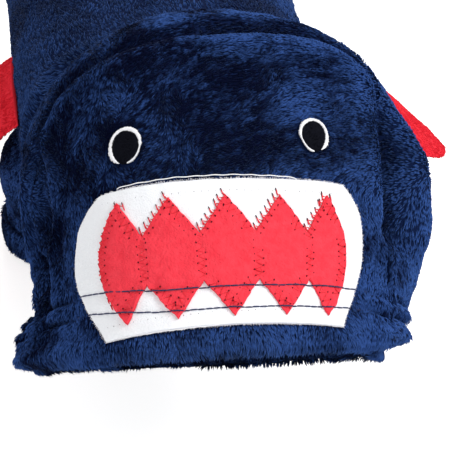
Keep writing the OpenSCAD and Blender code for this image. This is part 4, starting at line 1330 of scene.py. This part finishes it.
strip("hook_tape", LAYER / 2, "torso", "hook_strip", True)
strip("loop_tape", LAYER / 2 + STRIP_T + LAYER, "flap", "loop_strip", False)

# stitches along the flap's free edge and its sewn edge
for name, x in (("flap_topstitch_free", FLAP_X0 + FLAP_W - 3), ("flap_topstitch_sewn", FLAP_X0 + 1.8)):
    u = np.linspace(flap_u[0] + 0.004, flap_u[1] - 0.004, 300)
    q, n = belly_spot(x, u, flap_lift(x) + FLAP_T - 0.1)
    stitch_row(name, q, n, 0.3, 0.24, FLAP_BEND)


# ---- sleeves -----------------------------------------------------------------
BALL_DEPTH = 9.0        # how deep the sleeve's slanted head cuts into its ball
SLEEVE_R = CUFF_R + CLOTH
CUFF_W, CUFF_T = 12.0, 1.6
SLEEVE_SWING = 16.0     # a little more than the joint's range


def sleeve_profile(turn, side, shrink):
    """Rows of points down the sleeve from its slanted head to its lower edge, at each turn about it."""
    ball, tube = SLEEVE_BALL - shrink, SLEEVE_R - shrink
    slant = side * cosd(turn)
    lean = np.degrees(np.arctan2(1, slant))
    head = lean - np.degrees(np.arcsin(BALL_DEPTH * math.sqrt(2) / ball / np.sqrt(slant ** 2 + 1)))
    neck = 180 - math.degrees(math.asin(tube / ball))
    head = np.minimum(head, neck - 1)
    polar = mix(head, neck, np.linspace(0, 1, 26)[:, None])
    r = ball * sind(polar)
    z = ball * cosd(polar)
    low = np.linspace(z[-1, 0], -SLEEVE_LEN + 0.6, 22)[1:, None]
    soft = ease(-low, 10, 20) * 0.28 * sind(turn * 9 + low * 8)
    r = np.concatenate([r, np.full((21, len(turn)), tube) + soft * (shrink == 0)])
    z = np.concatenate([z, np.broadcast_to(low, (21, len(turn)))])
    return np.stack([r * cosd(turn), r * sind(turn), z], -1)


def cuff_rings(turn):
    """A folded band over the sleeve's end, rounded at both edges."""
    half = CUFF_T / 2 + 0.1
    middle = SLEEVE_R + LAYER + 0.15 + half
    bend = [(middle + half * math.cos(a), half * math.sin(a)) for a in np.linspace(0, math.pi, 8)]
    rows = [(r, half - z) for r, z in bend[::-1]]
    rows += [(middle + half + 0.3 * math.sin(math.pi * k / 8), half + (CUFF_W - 2 * half) * k / 8)
             for k in range(1, 8)]
    rows += [(r, CUFF_W - half + z) for r, z in bend]
    rows += [(middle - half, CUFF_W * k / 4) for k in (3, 2, 1)]
    r, z = np.array(rows).T[..., None]
    r = r * (1 + 0.004 * sind(turn * 11))
    return np.stack([r * cosd(turn), r * sind(turn), z - SLEEVE_LEN + 0 * turn], -1)


for side, name in ((1, "left"), (-1, "right")):
    rides = name + "_sleeve"
    turn = np.arange(0, 360, 3.0)
    centre = SLEEVE * (side, 1, 1)
    outer, inner = [sleeve_profile(turn, side, x) + centre for x in (0, CLOTH)]
    tube = placed(shell("sleeve_cloth_" + name, outer, inner, navy_cloth_and_shade, closed=True), rides, "navy_plush",
                  "sleeve_" + name)
    n = ring_normals(outer)
    n = n * np.sign(((outer - centre) * n * (1, 1, 0.2)).sum(-1, keepdims=True))
    down = unit(np.gradient(outer, axis=0))
    q, n, down = scatter([outer[2:36], n[2:36], down[2:36]], 9500, 131 + side)
    # none that would go into the armhole as the sleeve swings
    free = np.ones(len(q), bool)
    for swing in (-SLEEVE_SWING, 0, SLEEVE_SWING):
        at = (q - centre) @ np.array(Matrix.Rotation(math.radians(swing), 3, "X")).T + centre
        _, middle, _, half_w, half_h = body_ring(at_y(at[:, 1]))
        free &= (at[:, 0] / (half_w + 2.5)) ** 2 + ((at[:, 2] - middle) / (half_h + 2.5)) ** 2 > 1
    q, n, down = kept(free, (q, n, down))
    pile("pile_sleeve_" + name, q, n, down, brushing_and_sheen(q, down, 330), rides, 133 + side, length=2.0)
    rings = cuff_rings(turn) + centre
    placed(band("cuff_fold_" + name, rings, navy_cloth_and_shade), rides, "navy_plush", "cuff_" + name)
    face_rows = rings[2:-4]
    n = ring_normals(face_rows)
    outwards = unit((face_rows - centre) * (1, 1, 0))
    n = n * np.sign((n * outwards).sum(-1, keepdims=True) + 0.3)
    down = np.broadcast_to(np.array([0, 0, -1.0]), n.shape)
    q, n, down = scatter([face_rows, n, down], 4500, 135 + side)
    pile("pile_cuff_" + name, q, n, down, brushing_and_sheen(q, down, 330), rides, 137 + side, length=2.0, lie=0.3)


# ---- fins --------------------------------------------------------------------
BEAD, FIN_HALF_T, FIN_SECTION = 3.3, 7.0, 72
FIN_INSET = 0.7         # room for the pile inside the fin's CAD form
FRAMES, SWELL = 20, 1.6  # frames of the cloth simulation, and the most that a point may move in it


def fin_rings(root, span, tip, hollow):
    """Closed rings of a stuffed fin in its own plane, root first: along the root, reach, thickness."""
    # the root goes on a little into the body's pile, where it is sewn on
    reach = span * np.sin(np.linspace(0.05, math.pi / 2 - 0.03, 46))
    reach = np.concatenate([[-4.6, -4.0, -2.6, -1.0, 1.0], reach])
    a = np.radians(np.arange(FIN_SECTION) * 360 / FIN_SECTION)
    rings = []
    for y in reach:
        x = max(y, 0) / span
        bow = 1 - math.sqrt(max(1 - x * x, 0))
        start, end = tip * bow, mix(root, tip, bow) - hollow * math.sin(math.pi * x ** 0.7)
        bulge = BEAD + (FIN_HALF_T - BEAD) * math.sin(math.pi * x ** 0.75) - (BEAD - 1.2) * x
        thick = BEAD * 0.8 if y < 1.5 else bulge
        half = max((end - start) / 2 - FIN_INSET, 0.4)
        thick = max(min(thick, half * 0.8) - FIN_INSET, 0.3)
        seam_dent = 1 - 0.55 * np.abs(np.cos(a)) ** 14
        rings.append(np.stack([(start + end) / 2 - half * np.cos(a), np.full(len(a), y),
                               thick * np.sin(a) * seam_dent], -1))
    return np.array(rings)


def stuffed(rings, seed):
    """Uneven filling and the small pulls along the edge seam."""
    x, y, z = rings[..., 0], rings[..., 1], rings[..., 2]
    edge = np.abs(z) / (np.abs(z).max(1)[:, None] + 1e-6)
    pull = 0.35 * np.sin(y * 1.5 + seed) * (1 - edge) * ease(y, 4, 12)
    lumps = 1 + 0.10 * noise(rings, 20, seed)
    return np.stack([x + np.sign(x - x.mean(1)[:, None]) * pull, y, z * lumps], -1)


def simulate(ob, pinned):
    """Blow a closed cloth up with pressure and lay it as it settles; pinned is 1 for the points that stay."""
    group = ob.vertex_groups.new(name="pin")
    group.add([int(i) for i in np.nonzero(pinned)[0]], 1.0, "REPLACE")
    cloth = ob.modifiers.new("cloth", "CLOTH")
    cloth.settings.use_pressure = True
    cloth.settings.uniform_pressure_force = 4.0
    cloth.settings.effector_weights.gravity = 0.0
    cloth.settings.vertex_group_mass = "pin"
    cloth.settings.quality = 6
    cloth.settings.tension_stiffness = cloth.settings.compression_stiffness = 25
    cloth.settings.bending_stiffness = 0.4
    cloth.point_cache.frame_start, cloth.point_cache.frame_end = 1, FRAMES
    start = np.empty(len(ob.data.vertices) * 3, np.float32)
    ob.data.vertices.foreach_get("co", start)
    for number in range(1, FRAMES + 1):
        bpy.context.scene.frame_set(number)
    solid(ob)
    ob.vertex_groups.clear()
    bpy.context.scene.frame_set(1)
    end = np.empty_like(start)
    ob.data.vertices.foreach_get("co", end)
    move = (end - start).reshape(-1, 3)
    far = np.linalg.norm(move, axis=1, keepdims=True)
    move = move * np.minimum(1, SWELL * MM / np.maximum(far, 1e-9)) * (1 - pinned[:, None])
    settled = start + move.ravel()
    ob.data.vertices.foreach_set("co", settled.astype(np.float32))
    ob.data.update()
    return settled.reshape(-1, 3) / MM


def fin_piece(name, rings, origin, along, reach, foot, deep, rides, nodes, cloth, pile_material, slot, fluff,
              seed, count):
    """A stuffed fin: its padded cloth and its pile. Its root runs along one direction from the origin, and it
    reaches along another. Its foot, where it is sewn to the body, and deep, how far above it, go into a bend
    that is not applied: the fin and its pile are only baked in place."""
    axes = [unit(along), unit(reach), np.cross(unit(along), unit(reach))]
    world = origin + stuffed(rings, seed) @ np.array(axes)
    ob = lofted(name, world, cloth)
    rows, cols = rings.shape[:2]
    height = np.concatenate([np.repeat(rings[:, 0, 1], cols), rings[[0, -1], 0, 1]])
    seam_line = np.append((np.abs(rings[..., 2]) < 0.55).ravel(), [True, True])
    settled = simulate(ob, (seam_line | (height < 3)).astype(float))
    world = settled[:rows * cols].reshape(rows, cols, 3)
    bend = ("torso", rides, tuple((foot - reach * 2) * MM), tuple((foot + reach * deep) * MM))
    placed(ob, bend, slot, *nodes)
    n = ring_normals(world)
    n = n * np.sign((n * (world - world.mean(1, keepdims=True))).sum((1, 2), keepdims=True))
    q, n, nap = scatter([world, n, unit(np.gradient(world, axis=0))], count, seed)
    tone = np.clip(brushing_and_sheen(q, nap, 350 + seed) + 0.1, 0, 1)
    pile("pile_" + name, q, n, nap, tone, bend, seed + 1, fluff, 0.5, 0.22, pile_material, slot)


def out_of_body(u, p, lift):
    """Point off the body's cut form, as the part's source measures it: along both half axes."""
    y, z, lean, w, h = body_ring(u)
    v = (h + lift) * sind(p)
    return np.array([(w + lift) * cosd(p), y + v * math.sin(lean), z + v * math.cos(lean)], float)


SIDE_ROOT, SIDE_SPAN, SIDE_DROOP = 60.0, 72.0, 37.0
SIDE_Y, SIDE_ANGLE, SIDE_FALL = 52.0, 2.0, 3.0
lift = BEAD + GAP + (1 - cosd((SIDE_ANGLE + SIDE_FALL) / 2)) * CHEST_H / 2
seat = out_of_body(at_y(SIDE_Y), SIDE_ANGLE, lift)
tail_end = out_of_body(at_y(SIDE_Y + SIDE_ROOT), -SIDE_FALL, lift)
line = unit(tail_end - seat)
turn_z, slope = math.atan2(-line[0], line[1]), math.asin(-line[2])
lay = np.array(Matrix.Rotation(turn_z, 3, "Z") @ Matrix.Rotation(-slope, 3, "X")
               @ Matrix.Rotation(math.radians(SIDE_DROOP), 3, "Y"))
for side, name in ((1, "left"), (-1, "right")):
    along, reach, origin = [v * (side, 1, 1) for v in (lay @ (0, 1, 0), lay @ (1, 0, 0), seat)]
    fin_piece("side_fin_" + name, fin_rings(SIDE_ROOT, SIDE_SPAN, SIDE_ROOT * 0.56, 0), origin, along, reach,
              origin + along * SIDE_ROOT / 2, 9, name + "_fin", (f"fin_{name}_cover", f"fin_{name}_filling"),
              red_cloth, red_pile, "red_fleece", 1.5, 150 + side, 9000)

TOP_FALL = math.atan((CHEST_H - LOIN_H) / 2 / (LOIN_Y - CHEST_Y))
DORSAL_ROOT, DORSAL_SPAN, DORSAL_Y, DORSAL_HOLLOW = 76.0, 62.0, 108.0, 17.0
origin = out_of_body(at_y(DORSAL_Y), 90, BEAD + GAP)
along = np.array([0, math.cos(TOP_FALL), -math.sin(TOP_FALL)])
reach = np.array([0, math.sin(TOP_FALL), math.cos(TOP_FALL)])
fin_piece("back_fin", fin_rings(DORSAL_ROOT, DORSAL_SPAN, DORSAL_ROOT + 6, DORSAL_HOLLOW), origin, along,
          reach, origin + along * DORSAL_ROOT / 2, 9, "back_fin", ("dorsal_cover", "dorsal_filling"),
          red_cloth, red_pile, "red_fleece", 1.5, 160, 8000)


# ---- tail --------------------------------------------------------------------
TAIL_ROOT, TAIL_BEND, TAIL_FORK, TAIL_SPAN, TAIL_SPREAD, TAIL_HALF_T = 30.0, 62.0, 16.0, 74.0, 82.0, 9.0
TAIL_U, TAIL_FALL = 0.912, math.radians(8.0)


def tail_rings():
    """Closed rings up the bent stalk, which spreads to two lobes with a fork between them."""
    a = np.radians(np.arange(FIN_SECTION) * 360 / FIN_SECTION)
    arc = math.radians(TAIL_BEND)
    reach = TAIL_SPAN - TAIL_FORK - 1.5 * FIN_INSET
    rings = []
    for x in np.concatenate([[-0.08, -0.05, -0.02], np.sin(np.linspace(0.02, math.pi / 2 - 0.02, 48))]):
        up = max(x, 0)
        h = math.radians(90) - arc * up
        path = ((1 - math.sin(h)) / arc, math.cos(h) / arc)
        waist = mix(TAIL_ROOT / 2 - 4 * math.sin(math.pi * min(up * 2, 1)), TAIL_SPREAD / 2, up ** 2.2)
        bulge = BEAD + (TAIL_HALF_T - BEAD) * math.sin(math.pi * up ** 0.7) - (BEAD - 1.6) * up
        half = max(waist - FIN_INSET, 1)
        thick = max((BEAD * 0.85 if x < 0 else bulge) - FIN_INSET, 0.4) * (1 - 0.5 * np.abs(np.cos(a)) ** 14)
        w, f = -half * np.cos(a), TAIL_FORK * up * up * np.cos(a) ** 2
        low = x * 60 if x < 0 else 0
        across, up_to = path[0] * reach, path[1] * reach + low
        rings.append(np.stack([across + w * math.sin(h) + f * math.cos(h),
                               up_to - w * math.cos(h) + f * math.sin(h), thick * np.sin(a)], -1))
    return np.array(rings)


origin = out_of_body(TAIL_U, 90, BEAD + GAP)
along = np.array([0, math.cos(TAIL_FALL), -math.sin(TAIL_FALL)])
reach = np.array([0, math.sin(TAIL_FALL), math.cos(TAIL_FALL)])
fin_piece("tail_fin", tail_rings(), origin, along, reach, origin, 10, "tail", ("tail_cover", "tail_filling"),
          navy_cloth_and_shade, navy_pile, "navy_plush", 2.2, 170, 13000)


# ---- camera, light, floor ----------------------------------------------------
AIM = np.array([0.0, -100.0, 52.0])
AZIMUTH, ELEVATION, BANK = math.radians(-9.26), math.radians(37.71), math.radians(1.72)
DISTANCE, ASIDE, RAISED = 750.0, -2.49, 1.16
FOCAL = 2207.22 * 36 / 450      # in mm, for a frame 36 mm wide
back = np.array([math.sin(AZIMUTH) * math.cos(ELEVATION), -math.cos(AZIMUTH) * math.cos(ELEVATION),
                 math.sin(ELEVATION)])
level = np.array([math.cos(AZIMUTH), math.sin(AZIMUTH), 0.0])
upright = np.cross(back, level)
right = level * math.cos(BANK) + upright * math.sin(BANK)
up = upright * math.cos(BANK) - level * math.sin(BANK)
place = np.eye(4)
place[:3, :3] = np.stack([right, up, back], 1)
place[:3, 3] = (AIM + right * ASIDE + up * RAISED + back * DISTANCE) * MM
camera = bpy.data.objects.new("camera", bpy.data.cameras.new("camera"))
camera.data.lens = FOCAL
camera.data.clip_start = 0.01
camera.matrix_world = Matrix(place.tolist())
bpy.context.scene.collection.objects.link(camera)
bpy.context.scene.camera = camera


def lamp(name, place, aim, size, power):
    data = bpy.data.lights.new(name, "AREA")
    data.size, data.energy = size, power
    ob = bpy.data.objects.new(name, data)
    ob.location = place
    ob.rotation_euler = (Vector(aim) - Vector(place)).to_track_quat("-Z", "Y").to_euler()
    bpy.context.scene.collection.objects.link(ob)


lamp("key", (0.85, -0.45, 0.95), (0, -0.02, 0.02), 0.6, 12.8)
lamp("fill", (-0.9, -0.9, 0.6), (0, 0, 0), 0.9, 4.4)
lamp("back", (0.2, 1.1, 0.8), (0, 0.1, 0), 0.9, 6.0)

# a world of plain soft light, seen as white
world = bpy.data.worlds.new("world")
bpy.context.scene.world = world
world.use_nodes = True
tree = world.node_tree
sky = tree.nodes["Background"]
sky.inputs["Color"].default_value = (1, 1, 1, 1)
rays = tree.nodes.new("ShaderNodeLightPath").outputs
seen = math_node(tree, "MAXIMUM", rays["Is Camera Ray"], rays["Is Transmission Ray"])
tree.links.new(math_node(tree, "MULTIPLY_ADD", seen, 0.42, 0.58), sky.inputs["Strength"])

# a pale floor, brought up to white for the camera
floor_mat = bpy.data.materials.new("floor")
floor_mat.use_nodes = True
tree = floor_mat.node_tree
base = tree.nodes["Principled BSDF"]
base.inputs["Base Color"].default_value = (0.85, 0.85, 0.85, 1)
base.inputs["Roughness"].default_value = 0.9
base.inputs["Emission Color"].default_value = (1, 1, 1, 1)
rays = tree.nodes.new("ShaderNodeLightPath").outputs
tree.links.new(math_node(tree, "MULTIPLY", rays["Is Camera Ray"], 0.66), base.inputs["Emission Strength"])
corners = np.array([[-1, -1, 0], [1, -1, 0], [1, 1, 0], [-1, 1, 0]]) * 4000.0
floor_height = cad_box[0].z / MM - 4
mesh("floor", corners + (0, 0, floor_height), [np.array([[0, 1, 2, 3]])], floor_mat)

bpy.context.scene.view_settings.view_transform = "Standard"
